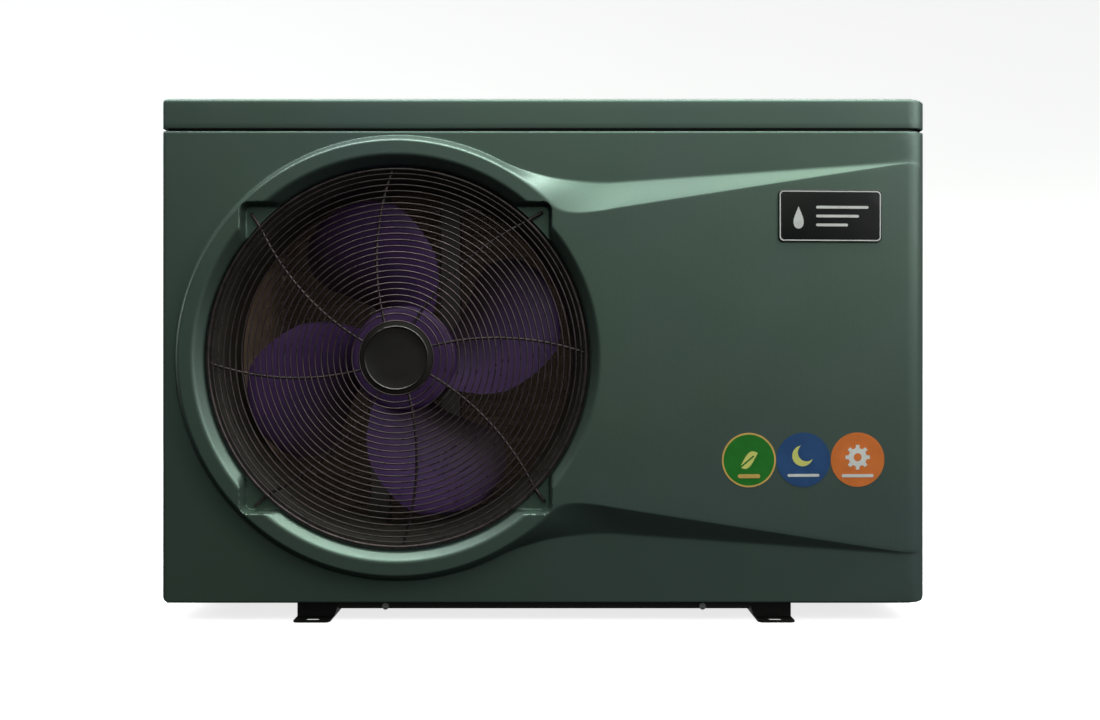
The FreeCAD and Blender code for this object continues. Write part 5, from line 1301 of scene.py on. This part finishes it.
# ---------------------------------------------------------------- finish of the carried-over nodes
CAD_FINISH = (
    (BLACK, "rear_coil_guard left_coil_guard base_tray foot_rail_left foot_rail_right motor_bracket"),
    (GALV, "partition_wall evaporator_end_plates electric_box"),
    (STEEL, "cabinet_screws fan_nut motor_shaft motor_bearings compressor_bolts flow_paddle"),
    (ROTOR, "motor_rotor"),
    (MOTOR, "motor_housing"),
    (TUBE, "evaporator_tubes"),
    (COMPRESSOR, "compressor_shell"),
    (RUBBER, "compressor_grommets union_seals"),
    (BRASS, "reversing_valve expansion_valve"),
    (COPPER, "refrigerant_pipes"),
    (GREY, "exchanger_shell water_pipes drain_nozzle"),
    (TITANIUM, "exchanger_coil"),
    (CONTROL, "flow_switch"),
    (BOARD, "control_board"),
)


def finish_cad_nodes():
    """Materials of the nodes that are shown with the shape they have in the frame."""
    for material, names in CAD_FINISH:
        for name in names.split():
            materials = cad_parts[name].data.materials
            materials.clear()
            materials.append(material)


# ---------------------------------------------------------------- stage, light and camera
def stage():
    """Pale round floor that curves up into a wall; it casts no light or shadow on the unit."""
    n = Nodes("pale_stage")
    tone = n.noise(1.5, 3.0)
    pale = n.mix(n.ramp(tone, 0.3, 0.7), rgb(0.84, 0.84, 0.84), rgb(0.87, 0.87, 0.87))
    n.set(Base_Color=pale, Roughness=0.9, Emission_Color=rgb(1.0, 1.0, 1.0), Emission_Strength=0.78)
    floor_r, sweep, top = 4500.0, 1800.0, 7000.0
    profile = [(0.001, 0.0), (1500.0, 0.0), (floor_r, 0.0)]
    for a in np.linspace(0, math.pi / 2, 14)[1:]:
        profile.append((floor_r + sweep * math.sin(a), sweep - sweep * math.cos(a)))
    profile += [(floor_r + sweep, top), (0.001, top)]
    verts, faces = turned(profile, (0, 0, 0), "z", 96)
    mesh = bpy.data.meshes.new("stage")
    mesh.from_pydata((verts * MM).tolist(), [], faces)
    mesh.polygons.foreach_set("use_smooth", [True] * len(mesh.polygons))
    mesh.materials.append(n.mat)
    floor = bpy.data.objects.new("stage", mesh)
    bpy.context.scene.collection.objects.link(floor)
    floor.visible_diffuse = False
    floor.visible_glossy = False
    floor.visible_shadow = False


def area_light(name, place, target, size, power, tint=(1.0, 1.0, 1.0)):
    data = bpy.data.lights.new(name, "AREA")
    data.shape = "RECTANGLE"
    data.size, data.size_y = size
    data.energy = power
    data.color = tint
    lamp = bpy.data.objects.new(name, data)
    lamp.location = place
    lamp.rotation_mode = "QUATERNION"
    lamp.rotation_quaternion = (Vector(target) - Vector(place)).to_track_quat("-Z", "Y")
    lamp.visible_camera = False
    bpy.context.scene.collection.objects.link(lamp)


def world_light():
    """Studio light: bright overhead, dark below, dim at the left and behind, a little green ahead."""
    world = bpy.data.worlds.new("studio")
    world.use_nodes = True
    tree = world.node_tree
    where = tree.nodes.new("ShaderNodeTexCoord")
    split = tree.nodes.new("ShaderNodeSeparateXYZ")
    tree.links.new(where.outputs["Generated"], split.inputs[0])

    def stops(axis, values):
        """Tint by the direction's share along an axis: rows of (share, colour or grey)."""
        reach = tree.nodes.new("ShaderNodeMapRange")
        reach.inputs["From Min"].default_value = -1.0
        tree.links.new(split.outputs[axis], reach.inputs["Value"])
        ramp = tree.nodes.new("ShaderNodeValToRGB")
        tree.links.new(reach.outputs["Result"], ramp.inputs["Fac"])
        elements = ramp.color_ramp.elements
        while len(elements) < len(values):
            elements.new(0.5)
        for element, (place, colour) in zip(elements, values):
            element.position = (place + 1) / 2
            element.color = rgb(*np.broadcast_to(colour, 3))
        return ramp.outputs["Color"]

    def product(a, b):
        made = tree.nodes.new("ShaderNodeMix")
        made.data_type = "RGBA"
        made.blend_type = "MULTIPLY"
        made.inputs["Factor"].default_value = 1.0
        tree.links.new(a, made.inputs[6])
        tree.links.new(b, made.inputs[7])
        return made.outputs[2]

    height = stops("Z", ((-1.0, (0.003, 0.003, 0.004)), (-0.28, (0.026, 0.025, 0.030)), (0.0, 0.165),
                         (0.24, 0.23), (0.52, 0.34), (0.76, 1.0), (1.0, 1.5)))
    side = stops("X", ((-1.0, (0.12, 0.11, 0.14)), (-0.45, (0.26, 0.24, 0.32)), (-0.12, (0.98, 1.08, 0.94)),
                       (0.08, (1.24, 1.48, 1.16)), (0.32, (0.96, 1.04, 1.02)), (0.7, (1.6, 1.55, 1.66)),
                       (1.0, (1.3, 1.3, 1.38))))
    edge = stops("Y", ((-1.0, 1.0), (0.05, 0.9), (0.14, 0.4), (0.26, 0.4), (0.45, 1.0)))
    behind = stops("Z", ((-1.0, 0.16), (0.0, (0.26, 0.26, 0.27)), (0.5, 0.5), (1.0, 1.5)))
    turn = stops("Y", ((-1.0, 0.0), (0.1, 0.0), (0.4, 1.0)))
    both = tree.nodes.new("ShaderNodeMix")
    both.data_type = "RGBA"
    tree.links.new(turn, both.inputs["Factor"])
    tree.links.new(product(height, side), both.inputs[6])
    tree.links.new(behind, both.inputs[7])
    tree.links.new(product(both.outputs[2], edge), tree.nodes["Background"].inputs["Color"])
    tree.nodes["Background"].inputs["Strength"].default_value = 1.0
    bpy.context.scene.world = world


def lights():
    world_light()
    area_light("top_softbox", (0.25, -1.05, 1.85), (0.05, -0.15, 0.4), (2.2, 0.8), 6.0, (0.84, 1.0, 0.90))
    area_light("overhead_softbox", (0.1, -0.27, 1.6), (0.1, -0.26, 0.0), (2.4, 0.2), 24.0, (1.0, 0.97, 0.95))
    area_light("rear_fill", (-1.0, 2.2, 1.4), (0.0, 0.18, 0.3), (1.8, 1.2), 26.0)
    area_light("left_fill", (-2.2, 0.7, 1.2), (-0.48, 0.0, 0.3), (1.2, 1.2), 12.0)
    area_light("right_fill", (2.1, -1.5, 1.5), (0.0, -0.1, 0.35), (0.9, 1.4), 14.0, (1.0, 0.98, 0.95))
    area_light("mouth_fill", (-0.183, -0.086, 0.33), (-0.183, 0.2, 0.33), (0.42, 0.42), 0.15,
               (1.0, 0.92, 0.86))


def camera():
    data = bpy.data.cameras.new("photo_camera")
    data.sensor_width = 36.0
    distance, half_view, fit = 1.22, 0.6886, 1.003
    data.lens = data.sensor_width / 2 * fit * distance / half_view
    cam = bpy.data.objects.new("photo_camera", data)
    cam.location = (0.0075, -0.18 - distance, 0.328)
    cam.rotation_euler = (math.pi / 2, 0.0, 0.0)
    bpy.context.scene.collection.objects.link(cam)
    bpy.context.scene.camera = cam


finish_cad_nodes()
front_panel()
lid()
left_side()
right_side()
rear()
guard()
fan()
shroud()
evaporator()
name_plate()
labels()
union("inlet", BLUE, "blue_plastic")
union("outlet", RED, "red_plastic")
gauge()
gland()
controller()
stage()
lights()
camera()

bpy.context.scene.view_settings.view_transform = "Standard"
